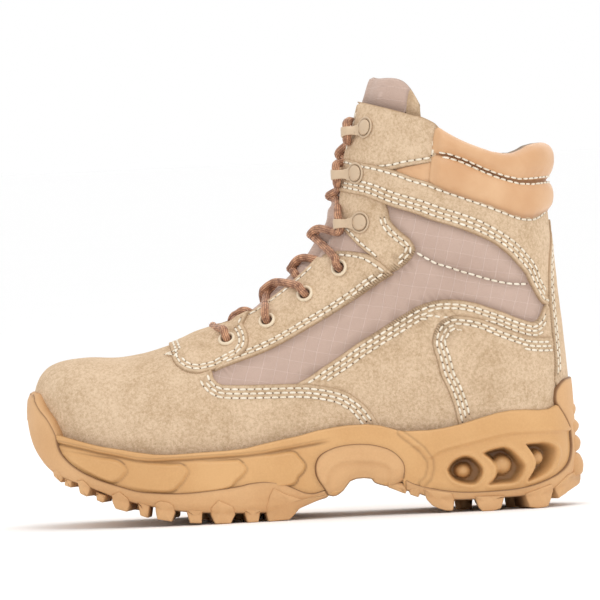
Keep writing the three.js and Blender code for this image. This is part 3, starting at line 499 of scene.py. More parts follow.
class SoleWall:
    """The sole's outer wall, by the run w round it from the toe's tip (lateral negative) and the height z."""

    def __init__(self) -> None:
        """Works out the outline in plan and its outward directions."""
        row = np.linspace(0, SOLE.count - 1, 1200)
        x, yc = SOLE.at("x", row), SOLE.at("yc", row)
        lat, med = (np.maximum(0, SOLE.at(k, row)) for k in ("lat", "med"))
        lateral, medial = np.stack([x, yc - lat], 1), np.stack([x, yc + med], 1)
        arch = read(ARCH_UNDER, x)
        base = np.where((x > ARCH_UNDER[0][0]) & (x < ARCH_UNDER[-1][0]), arch, SOLE.at("base", row))
        loop = np.vstack([lateral[::-1], medial[1:]])
        run = run_along(loop)
        tip = run[len(row) - 1]
        self.run = run - tip
        self.loop = loop
        self.base_run = np.r_[base[::-1], base[1:]]
        self.half_run = np.r_[lat[::-1], med[1:]]
        d = np.gradient(loop, axis=0)
        out = unit(np.stack([-d[:, 1], d[:, 0]], 1))
        soft = np.ones(25) / 25
        smoothed = [np.convolve(np.pad(out[:, k], 12, "edge"), soft, "valid") for k in (0, 1)]
        self.out = unit(np.stack(smoothed, 1))
        self.first, self.last = self.run[0], self.run[-1]

    def station(self, x: Any, side: Side) -> np.ndarray:
        """The run w at which the outline passes x, on a side.

        Args:
            x: how far back the places are.
            side: the side of the boot.

        Returns:
            The runs.
        """
        keep = self.run <= 0 if side is Side.LATERAL else self.run >= 0
        w, at = self.run[keep], self.loop[keep, 0]
        if side is Side.LATERAL:
            w, at = w[::-1], at[::-1]
        return np.interp(x, np.maximum.accumulate(at), w)

    def x(self, w: Any) -> np.ndarray:
        """The outline's x at run w."""
        return np.interp(w, self.run, self.loop[:, 0])

    def base(self, w: Any) -> np.ndarray:
        """The height of the sole's underside at run w."""
        return np.interp(w, self.run, self.base_run)

    def point(self, w: Any, z: Any, lift: Any = 0.0) -> Points:
        """Points of the wall, moved out by lift."""
        return self.from_run(w, z, lift)

    def from_run(self, w: Any, z: Any, lift: Any) -> Points:
        """Points of the wall by the run w, moved out by lift.

        Args:
            w: runs round the sole.
            z: heights.
            lift: how far off the surface.

        Returns:
            The points.
        """
        w, z, lift = np.broadcast_arrays(np.asarray(w, float), np.asarray(z, float), np.asarray(lift, float))
        at = np.stack([np.interp(w, self.run, self.loop[:, k]) for k in (0, 1)], -1)
        out = np.stack([np.interp(w, self.run, self.out[:, k]) for k in (0, 1)], -1)
        rise = z - np.interp(w, self.run, self.base_run)
        foot = np.interp(rise, *zip(*FOOT_INSET)) * np.minimum(1, np.interp(w, self.run, self.half_run) / 20)
        move = lift - foot - np.interp(z, *zip(*TOP_INSET))
        return np.concatenate([at + out * move[..., None], z[..., None]], -1)

    def slopes(self, w: Any, z: Any) -> tuple[Points, Points]:
        """How the wall moves for a step of w and of z.

        Args:
            w: runs round the sole.
            z: heights.

        Returns:
            The two directions.
        """
        h = 0.3
        along = (self.point(np.add(w, h), z) - self.point(np.subtract(w, h), z)) / (2 * h)
        up = (self.point(w, np.add(z, h)) - self.point(w, np.subtract(z, h))) / (2 * h)
        return along, up

    def normal(self, w: Any, z: Any) -> Points:
        """Outward directions, level with the floor.

        Args:
            w: runs round the sole.
            z: heights.

        Returns:
            A direction for each point.
        """
        w, z = np.broadcast_arrays(np.asarray(w, float), np.asarray(z, float))
        out = np.stack([np.interp(w, self.run, self.out[:, k]) for k in (0, 1)], -1)
        return np.concatenate([unit(out), np.zeros_like(z)[..., None]], -1)

    def chart(self, places: Any, side: Side) -> Points:
        """The w and z of places given in side view as x and z."""
        places = np.asarray(places, float)
        return np.stack([self.station(places[:, 0], side), places[:, 1]], 1)

    def flat(self, chart: Points) -> Points:
        """The chart is already in millimetres."""
        return chart

    def unflat(self, flat: Points) -> Points:
        """The opposite of flat."""
        return flat


@dataclass(frozen=True)
class HeelChart(Last):
    """The same form, charted from the middle of the back: v is 0 there and grows towards the medial side."""

    @staticmethod
    def _turned(v: Any) -> np.ndarray:
        """The last's place s for a place v."""
        return np.where(np.asarray(v) < 0, -1, 1) * (2 - np.abs(v))

    def _held(self, s: Any) -> np.ndarray:
        """The middle of the back needs no clearance."""
        return s

    def _bare(self, u: Any, v: Any) -> Points:
        """Points of the surface itself."""
        return super()._bare(u, self._turned(v))

    def normal(self, u: Any, v: Any) -> Points:
        """Outward directions."""
        return -unit(np.cross(*self.slopes(u, v)))

    def chart(self, places: Any, side: Side) -> Points:
        """The u and v of places given in side view as x and z."""
        found = super().chart(places, side)
        return np.stack([found[:, 0], side.value * (2 - np.abs(found[:, 1]))], axis=1)


# ---------------------------------------------------------------- meshes


class Shape:
    """Gathers the points and faces of a piece, with each point's shading and each face's finish."""

    def __init__(self) -> None:
        """Starts empty."""
        self.points: list[Points] = []
        self.marks: list[np.ndarray] = []
        self.faces: list[np.ndarray] = []
        self.finishes: list[np.ndarray] = []
        self.count = 0

    def add(self, points: Points, faces: Any, mark: Any = 0.0, finish: int = 0) -> np.ndarray:
        """Adds points, and faces that count from the first of them.

        Args:
            points: a row of x, y, z for each point, in boot millimetres.
            faces: rows of three or four point numbers.
            mark: the shading of the points, from 0 to 1, as one number or one each.
            finish: the number of the faces' finish in the piece's list.

        Returns:
            The numbers of the added points.
        """
        points = np.asarray(points, float).reshape(-1, 3)
        numbers = np.arange(self.count, self.count + len(points))
        self.points.append(points)
        self.marks.append(np.broadcast_to(np.asarray(mark, float).reshape(-1), (len(points),)))
        faces = np.asarray(faces, int)
        if len(faces):
            self.faces.append(faces + self.count)
            self.finishes.append(np.full(len(faces), finish))
        self.count += len(points)
        return numbers

    def link(self, faces: Any, finish: int = 0) -> None:
        """Adds faces between points that are there already.

        Args:
            faces: rows of point numbers.
            finish: the number of their finish.
        """
        faces = np.asarray(faces, int)
        if len(faces):
            self.faces.append(faces)
            self.finishes.append(np.full(len(faces), finish))

    def grid(self, points: Points, mark: Any = 0.0, finish: int = 0, ring: bool = False,
             loop: bool = False, flip: bool = False, capped: bool = False) -> np.ndarray:
        """Adds a grid of points as four-sided faces.

        Args:
            points: an array of rows and columns of x, y, z.
            mark: the shading, as one number or an array of rows and columns.
            finish: the faces' finish.
            ring: whether the last column joins the first.
            loop: whether the last row joins the first.
            flip: whether the faces are turned over.
            capped: whether the first and the last row are closed.

        Returns:
            The point numbers, in rows and columns.
        """
        rows, columns = points.shape[:2]
        mark = np.broadcast_to(mark, (rows, columns))
        numbers = self.add(points, [], mark.reshape(-1)).reshape(rows, columns)
        self.link(quads(numbers, ring, loop, flip), finish)
        if capped:
            self.cap(numbers[0])
            self.cap(numbers[-1])
        return numbers

    def cap(self, loop: Points) -> None:
        """Closes a round hole with a fan about its middle."""
        middle = self.add(np.vstack(self.points)[loop].mean(axis=0), [])[0]
        self.link([(middle, a, b) for a, b in zip(loop, np.roll(loop, -1))])

    def strip(self, first: Points, second: Points, finish: int = 0, flip: bool = False) -> None:
        """Closes the gap between two lines of point numbers."""
        self.link(quads(np.stack([first, second]), flip=flip), finish)

    def seal(self, a: Points, b: Points, flip: bool = False) -> None:
        """Closes the gap between the borders of two grids of point numbers."""
        for first, second in ((a[:, 0], b[:, 0]), (a[:, -1], b[:, -1]), (a[0], b[0]), (a[-1], b[-1])):
            self.strip(first, second, flip=flip)


def quads(numbers: np.ndarray, ring: bool = False, loop: bool = False, flip: bool = False) -> np.ndarray:
    """Four-sided faces between the rows and columns of a grid of point numbers.

    Args:
        numbers: a grid of point numbers.
        ring: whether the last column joins the first.
        loop: whether the last row joins the first.
        flip: whether the faces are turned over.

    Returns:
        A row of four point numbers for each face.
    """
    if ring:
        numbers = np.concatenate([numbers, numbers[:, :1]], axis=1)
    if loop:
        numbers = np.concatenate([numbers, numbers[:1]], axis=0)
    a, b = numbers[:-1, :-1], numbers[:-1, 1:]
    c, d = numbers[1:, 1:], numbers[1:, :-1]
    corners = (a, d, c, b) if flip else (a, b, c, d)
    return np.stack([k.reshape(-1) for k in corners], axis=1)


class Workshop:
    """Turns shapes into pieces in the frame's own units and dresses them."""

    def __init__(self, low: Vector) -> None:
        """Finds where the boot's own axes start in the frame."""
        self.start = np.array([-low.x / MM, SOLE_MIDDLE, 0])

    def place(self, points: Points) -> Points:
        """Boot millimetres as the frame's metres."""
        return (np.asarray(points, float) - self.start) * MM

    def piece(self, name: str, shape: Shape, finishes: Sequence[bpy.types.Material],
              replaces: Sequence[str] = (), tidy: bool = True) -> bpy.types.Object:
        """Makes a mesh object that rides on the boot.

        Args:
            name: the piece's name.
            shape: its points and faces.
            finishes: its materials, in the order of the shape's finish numbers.
            replaces: the solids that it stands for.
            tidy: whether to merge coincident points and turn the faces outwards.

        Returns:
            The object.
        """
        mesh = bpy.data.meshes.new(name)
        points = self.place(np.vstack(shape.points))
        faces = [row for block in shape.faces for row in block.tolist()]
        mesh.from_pydata(points.tolist(), [], faces)
        shade = mesh.attributes.new("shade", "FLOAT", "POINT")
        shade.data.foreach_set("value", np.concatenate(shape.marks).astype(np.float32))
        mesh.polygons.foreach_set("material_index", np.concatenate(shape.finishes).astype(np.int32))
        mesh.polygons.foreach_set("use_smooth", np.ones(len(mesh.polygons), bool))
        for finish in finishes:
            mesh.materials.append(finish)
        if tidy:
            self._tidy(mesh)
        thing = bpy.data.objects.new(name, mesh)
        bpy.context.scene.collection.objects.link(thing)
        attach(thing, "root")
        if replaces:
            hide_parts(*replaces)
        log.info("%s: %d faces", name, len(mesh.polygons))
        return thing

    @staticmethod
    def _tidy(mesh: bpy.types.Mesh) -> None:
        """Merges coincident points, drops collapsed faces and turns the rest outwards.

        Args:
            mesh: the mesh.
        """
        work = bmesh.new()
        work.from_mesh(mesh)
        bmesh.ops.remove_doubles(work, verts=work.verts, dist=0.00001)
        bmesh.ops.recalc_face_normals(work, faces=work.faces)
        work.to_mesh(mesh)
        work.free()


# ---------------------------------------------------------------- panels


@dataclass(frozen=True)
class Edge:
    """One stretch of a panel's outline, in side view, with its rows of stitches.

    rows are the distances of the rows from the edge. trim leaves that much unstitched at its two ends.
    """

    places: Loop
    rows: tuple[float, ...] = ()
    trim: tuple[float, float] = (0, 0)


@dataclass
class Stitching:
    """Rows of thread: one capsule for each stitch and, between two stitches, a dark disc of painted shade for
    the needle hole.
    """

    pitch: float = 4.4
    length: float = 4.0
    width: float = 1.3
    height: float = 0.75
    hole: float = 0.45
    thread: Shape = field(default_factory=Shape)
    holes: Shape = field(default_factory=Shape)
    rows: int = 0

    def sew(self, path: Points, out: Points) -> None:
        """Sews one row.

        Args:
            path: close points along the row, on the leather's face.
            out: the outward direction at each of them.
        """
        run = run_along(path)
        start = self.pitch * (0.5 + 0.5 * (self.rows % 2))
        self.rows += 1
        at = np.arange(start, run[-1] - self.pitch * 0.4, self.pitch)
        if not len(at):
            return
        read = lambda values, where: np.stack([np.interp(where, run, values[:, k]) for k in range(3)], 1)
        ahead = unit(read(path, at + 0.8) - read(path, at - 0.8))
        up = unit(read(out, at))
        self._capsules(read(path, at), ahead, up)
        gap = at + self.pitch / 2
        self._discs(read(path, gap), unit(read(out, gap)), ahead)

    def _capsules(self, middle: Points, ahead: Points, up: Points) -> None:
        """Adds a stitch at each place.

        Args:
            middle: the stitches' places.
            ahead: the row's direction at each.
            up: the outward direction at each.
        """
        aside = np.cross(up, ahead)
        steps = np.array([-1, -0.86, -0.5, 0, 0.5, 0.86, 1])
        size = np.array([0.05, 0.55, 0.92, 1, 0.92, 0.55, 0.05])
        turn = whole_turn(6)
        sink = -0.35 * np.abs(steps) ** 3
        for m, a, s, n in zip(middle, ahead, aside, up):
            ring = (m + a * (steps * self.length / 2)[:, None, None]
                    + s * (size[:, None] * np.cos(turn) * self.width / 2)[..., None]
                    + n * (size[:, None] * np.sin(turn) * self.height / 2 + sink[:, None] + 0.12)[..., None])
            numbers = self.thread.grid(ring, ring=True)
            self.thread.link([numbers[0][::-1][:4].tolist(), numbers[-1][:4].tolist()])

    def _discs(self, middle: Points, up: Points, ahead: Points) -> None:
        """Adds a dark disc of painted shade for a needle hole at each place.

        Args:
            middle: the holes' places.
            up: the outward direction at each.
            ahead: the row's direction at each.
        """
        aside = np.cross(up, ahead)
        turn = whole_turn(6)
        for m, n, a, s in zip(middle, up, ahead, aside):
            ring = m + n * 0.06 + (a * np.cos(turn)[:, None] + s * np.sin(turn)[:, None]) * self.hole
            self.holes.add(ring, [(0, 1, 2, 3), (0, 3, 4, 5)])


@dataclass(frozen=True)
class Rise:
    """A stretch of a panel that lies higher, because it covers another's edge."""

    x: float
    over: float  # millimetres along x in which it rises
    more: float


@dataclass(frozen=True)
class Panel:
    """A flat piece of suede or leather, sewn on, whose outline is drawn in side view."""

    edges: tuple[Edge, ...]
    level: float = 0.0
    thick: float = 1.3
    rises: tuple[Rise, ...] = ()
    plump: float = 0.12  # how much the leather swells between rows of stitches
    relief: Callable[[Points], np.ndarray] | None = None  # what else stands out, by place

    RINGS = (0.14, 0.45, 1.0)
    HEIGHTS = ((0, -0.55), (0.14, 0.55), (0.45, 0.88), (1.0, 1.0))


class PanelMaker:
    """Lays panels on a chart, closes them underneath and sews them."""

    def __init__(self, chart: Any, stitching: Stitching, fine: float) -> None:
        """Keeps the chart and the thread, and sets the steps of the meshes.

        Args:
            chart: the chart that panels are laid on.
            stitching: the thread.
            fine: how much longer than the finest the mesh's steps are.
        """
        self.chart = chart
        self.stitching = stitching
        self.holes: list[tuple[tuple[float, float], float]] = []
        self.edge_step = 1.5 * fine
        self.inner_step = 2.3 * fine

    def _metric(self, chart: Points) -> Points:
        """How lengths in the chart become lengths on the surface, as a 2 by 2 matrix at each point.

        Args:
            chart: chart places.

        Returns:
            The matrices.
        """
        a, b = self.chart.slopes(*chart.T)
        aa, ab, bb = (a * a).sum(1), (a * b).sum(1), (b * b).sum(1)
        return np.stack([np.stack([aa, ab], 1), np.stack([ab, bb], 1)], 1)

    def offset(self, line: Points, distance: float, turn: float, closed: bool) -> Points:
        """A line in the chart moved sideways by a distance on the surface.

        Args:
            line: the line's chart places.
            distance: how far, in millimetres.
            turn: 1 to move to the left in the chart, -1 to the right.
            closed: whether the line's ends meet.

        Returns:
            The moved places.
        """
        if closed:
            along = np.roll(line, -1, axis=0) - np.roll(line, 1, axis=0)
        else:
            along = np.gradient(line, axis=0)
        left = np.stack([-along[:, 1], along[:, 0]], 1)
        metric = self._metric(line)
        metric = metric + np.eye(2) * 1e-3
        step = np.linalg.solve(metric, left[..., None])[..., 0]
        size = np.sqrt(np.einsum("ni,nij,nj->n", step, metric, step))
        return line + turn * distance * step / np.maximum(size, 1e-9)[:, None]

    def line(self, places: Loop, side: Side = Side.LATERAL) -> Points:
        """Close chart places along a line drawn in side view."""
        return self.chart.chart(smooth_line(places, self.edge_step), side)

    def straight(self, places: Any) -> Points:
        """Close chart places along straight stretches between chart places."""
        return self.chart.unflat(even(self.chart.flat(np.array(places)), self.edge_step))

    def lay(self, shape: Shape, panel: Panel, side: Side = Side.LATERAL,
            edges: list[Points] | None = None) -> None:
        """Adds a panel to a shape and sews it.

        Args:
            shape: what the panel is added to.
            panel: its outline and levels.
            side: the side of the boot.
            edges: chart places of its edges, where they don't come from the outline.
        """
        edges = edges or [self.line(edge.places, side) for edge in panel.edges]
        loop = np.vstack([e[:-1] for e in edges])
        keep = np.linalg.norm(self.chart.flat(loop - np.roll(loop, 1, axis=0)), axis=1) > 0.05
        loop = loop[keep]
        flat = self.chart.flat(loop)
        turn = float(np.sign(signed_area(flat)))
        border = self.chart.point(*loop.T)
        rows = self._rows(panel, edges, turn, border)
        rings = [self.offset(loop, d, turn, True) for d in panel.RINGS]
        for row in rows:
            rings += [row] + [self.offset(row, d, 1.0, False) for d in (-1.1, 1.1)]
        inner = self._inner(flat)
        extra = np.vstack([*rings, inner])
        close = self._distance(self.chart.point(*extra.T), border)
        wanted = np.concatenate([
            *[np.full(len(loop), d) * 0.75 for d in panel.RINGS],
            np.full(sum(len(r) for r in rings[len(panel.RINGS):]), 1.5), np.full(len(inner), 1.9)])
        keep = (close > wanted) & inside(self.chart.flat(extra), flat)
        holes = [self.chart.flat(self._hole(h, r, side)) for h, r in self.holes for side in Side]
        holes = [h for h in holes if inside(h, flat).all()]
        for hole in holes:
            wide = hole.mean(axis=0) + (hole - hole.mean(axis=0)) * 1.25
            keep &= ~inside(self.chart.flat(extra), wide)
        extra = extra[keep]
        coordinates = [Vector(p) for p in np.vstack([flat, *holes, self.chart.flat(extra)])]
        constraint = [(i, (i + 1) % len(loop)) for i in range(len(loop))]
        for k, hole in enumerate(holes):
            first = len(loop) + k * len(hole)
            constraint += [(first + i, first + (i + 1) % len(hole)) for i in range(len(hole))]
        cut = delaunay_2d_cdt(coordinates, constraint, [], 1, 0.0005)
        points = np.array([tuple(v) for v in cut[0]])
        triangles = np.array(cut[2])
        for hole in holes:
            triangles = triangles[~inside(points[triangles].mean(axis=1), hole)]
        places = self.chart.unflat(points)
        self._raise(shape, panel, places, triangles, border, rows)
        for row in rows:
            lift = self._height(panel, self.chart.point(*row.T), border, [])
            path = self.chart.point(*row.T, lift - 0.1)
            self.stitching.sew(path, self.chart.normal(*row.T))

    def _hole(self, place: tuple[float, float], radius: float, side: Side) -> Points:
        """A circle on the surface about a place given in side view, as chart places.

        Args:
            place: its middle in side view.
            radius: the circle's radius.
            side: the side of the boot.

        Returns:
            The circle's chart places.
        """
        middle = self.chart.chart([place], side)
        spread = np.linalg.inv(np.linalg.cholesky(self._metric(middle)[0])).T
        turn = whole_turn(20)
        return middle + radius * np.stack([np.cos(turn), np.sin(turn)], 1) @ spread.T

    def _inner(self, flat: Points) -> Points:
        """A staggered grid of chart places inside a flat outline.

        Args:
            flat: the outline, in stretched chart units.

        Returns:
            The grid's chart places.
        """
        low, high = flat.min(axis=0), flat.max(axis=0)
        step = self.inner_step
        rows = np.arange(low[1], high[1], step * 0.87)
        points = [(x, y) for i, y in enumerate(rows)
                  for x in np.arange(low[0] + step / 2 * (i % 2), high[0], step)]
        return self.chart.unflat(np.array(points))

    def _rows(self, panel: Panel, edges: list[Points], turn: float, border: Points) -> list[Points]:
        """The stitch rows, as chart lines.

        Args:
            panel: the panel.
            edges: its edges, as chart places.
            turn: 1 where the outline runs anticlockwise, else -1.
            border: the outline, as points in space.

        Returns:
            The rows that have room for stitches.
        """
        rows = []
        for edge, line in zip(panel.edges, edges):
            for distance in edge.rows:
                row = self.offset(line, distance, turn, False)
                at = self.chart.point(*row.T)
                clear = self._distance(at, border) > distance - 0.5
                run = run_along(at)
                clear &= (run >= edge.trim[0]) & (run <= run[-1] - edge.trim[1])
                if clear.sum() > 3:
                    rows.append(row[clear])
        return rows

    @staticmethod
    def _distance(points: Points, border: Points) -> np.ndarray:
        """How far points are from a closed line, in space.

        Args:
            points: places in space.
            border: the closed line's points.

        Returns:
            A distance for each point.
        """
        tree = KDTree(len(border))
        for i, p in enumerate(border):
            tree.insert(p, i)
        tree.balance()
        nearest = np.array([tree.find(p)[1] for p in points], int)
        best = np.full(len(points), 1e9)
        for step in (-1, 1):
            a = border[nearest]
            d = border[(nearest + step) % len(border)] - a
            t = np.clip(((points - a) * d).sum(1) / np.maximum((d * d).sum(1), 1e-12), 0, 1)
            best = np.minimum(best, np.linalg.norm(points - a - t[:, None] * d, axis=1))
        return best

    def _height(self, panel: Panel, at: Points, border: Points, rows: list[Points]) -> np.ndarray:
        """How far the panel's face stands off the chart at places.

        Args:
            panel: the panel.
            at: places in millimetres.
            border: the outline, as points in space.
            rows: the stitch rows, as points in space.

        Returns:
            A height for each place.
        """
        distance = self._distance(at, border)
        full = panel.thick * np.interp(distance, *zip(*panel.HEIGHTS))
        for rise in panel.rises:
            full = full + rise.more * smooth((at[:, 0] - rise.x) / rise.over, 0, 1)
        if panel.relief:
            full = full + panel.relief(at) * smooth(distance, 0, 1.5)
        for row in rows:
            near = self._distance(at, row)
            full = full - 0.42 * bell(near, 0.9) + panel.plump * bell(near - 1.2, 0.9)
        return panel.level + full

    def _raise(self, shape: Shape, panel: Panel, places: Points, triangles: np.ndarray, border: Points,
               rows: list[Points]) -> None:
        """Adds the panel's face, and its underside just inside the layer below.

        Args:
            shape: what is added to.
            panel: the panel.
            places: chart places of its mesh.
            triangles: rows of three point numbers.
            border: the outline, as points in space.
            rows: the stitch rows.
        """
        at = self.chart.point(*places.T)
        lines = [self.chart.point(*row.T) for row in rows]
        lift = self._height(panel, at, border, lines) + 0.1 * ripple(at)
        distance = self._distance(at, border)
        # Painted shade: darker along the panel's outer edge and in the grooves of its stitch rows; the hidden
        # underside below gets full painted shade.
        shade = 0.85 * bell(distance, 0.7)
        for line in lines:
            shade = np.maximum(shade, 0.4 * bell(self._distance(at, line), 0.9))
        edge = distance < 1e-4
        out = self.chart.normal(*places.T)
        top = shape.add(at + out * lift[:, None], triangles, shade)
        under = at + out * (panel.level - 0.55 * panel.thick - 0.25 * (~edge))[:, None]
        bottom = shape.add(under, triangles[:, ::-1], 1)
        a, b = edge_pairs(triangles).T
        shape.link(np.stack([top[b], top[a], bottom[a], bottom[b]], 1))


def edge_pairs(triangles: np.ndarray) -> np.ndarray:
    """The edges that only one triangle uses, in that triangle's order.

    Args:
        triangles: rows of three point numbers.

    Returns:
        Rows of two point numbers.
    """
    directed = np.vstack([triangles[:, [0, 1]], triangles[:, [1, 2]], triangles[:, [2, 0]]])
    key = np.sort(directed, axis=1)
    _, first, count = np.unique(key, axis=0, return_index=True, return_counts=True)
    return directed[first[count == 1]]


def ripple(at: Points) -> np.ndarray:
    """Soft unevenness of hand-lasted leather, about -1 to 1, over millimetre places.

    Args:
        at: places in millimetres.

    Returns:
        A height for each place.
    """
    x, y, z = at[..., 0], at[..., 1], at[..., 2]
    return (np.sin(x * 0.31 + z * 0.17 + 1.3 * np.sin(z * 0.11)) * 0.5
            + np.sin(z * 0.43 - x * 0.12 + y * 0.2 + 0.7 * np.sin(x * 0.09)) * 0.35
            + np.sin(x * 0.83 + z * 0.61) * 0.15)


# ---------------------------------------------------------------- materials


def srgb(red: int, green: int, blue: int) -> tuple[float, float, float, float]:
    """A colour given from 0 to 255 a channel, as the linear values that shaders take."""
    linear = [((c / 255 + 0.055) / 1.055) ** 2.4 if c > 10 else c / 255 / 12.92 for c in (red, green, blue)]
    return (*linear, 1.0)


class Value:
    """A number in a material, with arithmetic that adds Math nodes."""

    def __init__(self, nodes: "Nodes", socket: bpy.types.NodeSocket) -> None:
        """Wraps an output socket."""
        self.nodes = nodes
        self.socket = socket

    def _math(self, operation: str, first: Any, second: Any = 0.0) -> "Value":
        """One Math node."""
        node = self.nodes.add("ShaderNodeMath", {"operation": operation}, {0: first, 1: second})
        return Value(self.nodes, node.outputs[0])

    def __add__(self, other: Any) -> "Value":
        """The sum."""
        return self._math("ADD", self, other)

    __radd__ = __add__

    def __sub__(self, other: Any) -> "Value":
        """The difference."""
        return self._math("SUBTRACT", self, other)

    def __rsub__(self, other: Any) -> "Value":
        """The difference, from the other."""
        return self._math("SUBTRACT", other, self)

    def __mul__(self, other: Any) -> "Value":
        """The product."""
        return self._math("MULTIPLY", self, other)

    __rmul__ = __mul__

    def sine(self) -> "Value":
        """The sine."""
        return self._math("SINE", self)

    def size(self) -> "Value":
        """The value without its sign."""
        return self._math("ABSOLUTE", self)

    def clamped(self) -> "Value":
        """Held between 0 and 1."""
        return self._math("MINIMUM", self._math("MAXIMUM", self, 0.0), 1.0)

    def over(self, low: float, high: float) -> "Value":
        """A soft step from 0 at low to 1 at high.

        Args:
            low: where the step starts.
            high: where it ends.

        Returns:
            The step.
        """
        node = self.nodes.add("ShaderNodeMapRange", {"interpolation_type": "SMOOTHSTEP"},
                              {"Value": self, "From Min": low, "From Max": high})
        return Value(self.nodes, node.outputs[0])


class Nodes:
    """The nodes of one material."""

    def __init__(self, name: str) -> None:
        """Makes the material with its surface shader.

        Args:
            name: the material's name.
        """
        self.material = bpy.data.materials.new(name)
        self.material.use_nodes = True
        self.tree = self.material.node_tree
        self.surface = next(n for n in self.tree.nodes if n.type == "BSDF_PRINCIPLED")
        self.coordinates = self.add("ShaderNodeTexCoord").outputs["Object"]

    def add(self, kind: str, settings: dict[str, Any] | None = None,
            inputs: dict[Any, Any] | None = None) -> bpy.types.Node:
        """Adds a node.

        Args:
            kind: the node's type.
            settings: its properties, set first.
            inputs: values, sockets or Values for its inputs, by name or number.

        Returns:
            The node.
        """
        node = self.tree.nodes.new(kind)
        for key, value in (settings or {}).items():
            setattr(node, key, value)
        for key, value in (inputs or {}).items():
            self.feed(node, key, value)
        return node

    def feed(self, node: bpy.types.Node, key: Any, value: Any) -> None:
        """Gives one input a value or a link.

        Args:
            node: the node.
            key: the input's name or number.
            value: a value, a socket or a Value.
        """
        if isinstance(value, Value):
            value = value.socket
        if isinstance(value, bpy.types.NodeSocket):
            self.tree.links.new(value, node.inputs[key])
        else:
            node.inputs[key].default_value = value

    def noise(self, scale: float, detail: float = 2.0, rough: float = 0.5) -> Value:
        """Soft noise from 0 to 1, with scale cells to the metre.

        Args:
            scale: cells to the metre.
            detail: how many finer layers it has.
            rough: how strong those are.

        Returns:
            The noise.
        """
        node = self.add("ShaderNodeTexNoise", {}, {
            "Vector": self.coordinates, "Scale": scale, "Detail": detail, "Roughness": rough})
        return Value(self, node.outputs[0])

    def cells(self, scale: float, feature: str = "F1") -> Value:
        """Distance to the nearest of scattered points, scale to the metre.

        Args:
            scale: cells to the metre.
            feature: which distance is measured.

        Returns:
            The distance.
        """
        node = self.add("ShaderNodeTexVoronoi", {"feature": feature}, {
            "Vector": self.coordinates, "Scale": scale})
        return Value(self, node.outputs["Distance"])

    def axes(self) -> tuple[Value, Value, Value]:
        """The place on the boot, in metres."""
        node = self.add("ShaderNodeSeparateXYZ", {}, {0: self.coordinates})
        return tuple(Value(self, s) for s in node.outputs[:3])

    def shade(self) -> Value:
        """The piece's own shading of edges, seams and hollows."""
        node = self.add("ShaderNodeAttribute", {"attribute_name": "shade"})
        return Value(self, node.outputs["Fac"])

    def mix(self, share: Any, first: Any, second: Any) -> bpy.types.NodeSocket:
        """A mix of two colours."""
        node = self.add("ShaderNodeMix", {"data_type": "RGBA"}, {0: share, 6: first, 7: second})
        return node.outputs[2]

    def bump(self, height: Value, depth: float, strength: float = 1.0, below: Any = None) -> Any:
        """A surface normal from a height, whose full range is depth in metres.

        Args:
            height: the height, from 0 to 1.
            depth: what its full range is, in metres.
            strength: the share of the bump that is used.
            below: a normal that it is laid on.

        Returns:
            The normal's socket.
        """
        inputs = {"Height": height, "Distance": depth, "Strength": strength}
        if below is not None:
            inputs["Normal"] = below
        return self.add("ShaderNodeBump", {}, inputs).outputs[0]

    def finish(self, **inputs: Any) -> bpy.types.Material:
        """Sets the shader's inputs, whose names are written with _ for a space.

        Args:
            inputs: values, sockets or Values by input name.

        Returns:
            The material.
        """
        for key, value in inputs.items():
            self.feed(self.surface, key.replace("_", " "), value)
        return self.material


@dataclass(frozen=True)
class Suede:
    """Rough-out sand suede: a fine nap with cloudy brushing marks, and painted shade along panel edges and
    stitch rows.
    """

    name: str = "sand_suede"
    pale: tuple = srgb(220, 194, 164)
    deep: tuple = srgb(182, 153, 120)
    # edge is the colour of the painted shade along panel edges and stitch rows, mixed in by the shade mark
    edge: tuple = srgb(150, 118, 86)

    def make(self) -> bpy.types.Material:
        """Builds the material.

        Returns:
            The material.
        """
        n = Nodes(self.name)
        cloud = n.noise(42, 5, 0.62)
        streak = n.noise(190, 3, 0.6)
        nap = n.noise(1500, 3, 0.7)
        fleck = n.noise(620, 2, 0.6)
        tone = (cloud * 0.3 + streak * 0.2 + nap * 0.4 + fleck * 0.42 - 0.16).clamped()
        body = n.mix(tone.over(0.3, 0.66), self.deep, self.pale)
        # Painted shade: darker where the piece's shade mark is high.
        color = n.mix((n.shade() * 0.8).clamped(), body, self.edge)
        normal = n.bump(nap * 0.6 + fleck * 0.5 + streak * 0.35, 0.0006, 0.85)
        return n.finish(Base_Color=color, Roughness=0.94, Normal=normal, Specular_IOR_Level=0.25,
                        Sheen_Weight=0.3, Sheen_Roughness=0.5, Sheen_Tint=self.pale)


@dataclass(frozen=True)
class Ripstop:
    """Woven nylon with a raised check of thicker threads."""

    name: str
    across: tuple[float, float]  # how x and y count towards the upright threads' spacing
    color: tuple = srgb(214, 187, 172)
    deep: tuple = srgb(176, 149, 134)
    raised: tuple = srgb(226, 202, 190)
    check: float = 0.0074
    thread: float = 0.00085

    def make(self) -> bpy.types.Material:
        """Builds the material.

        Returns:
            The material.
        """
        n = Nodes(self.name)
        place = n.axes()
        wander = n.noise(35, 2) * 0.004
        level = place[0] * self.across[0] + place[1] * self.across[1]
        along = level + place[2] * -0.28 + wander
        upward = place[2] + level * 0.2 + wander
        once = 2 * math.pi / self.thread
        weave = (along * once).sine() * (upward * once).sine()
        line = self._line(along) + self._line(upward) * 0.55
        tone = n.noise(55, 4) * 0.5 + n.noise(1300, 1) * 0.22 + weave * 0.16 + 0.06
        body = n.mix(tone.clamped(), self.deep, self.color)
        color = n.mix((line * 0.5).clamped(), body, self.raised)
        shaded = n.mix((n.shade() * 0.8).clamped(), color, srgb(120, 96, 80))
        height = weave * 0.3 + line.clamped() * 0.8
        return n.finish(Base_Color=shaded, Roughness=0.78, Normal=n.bump(height, 0.00035, 0.8),
                        Sheen_Weight=0.15, Sheen_Roughness=0.4)

    def _line(self, place: Value) -> Value:
        """1 on a raised thread and 0 between."""
        return (place * (math.pi / self.check)).sine().size().over(0.16, 0.02)


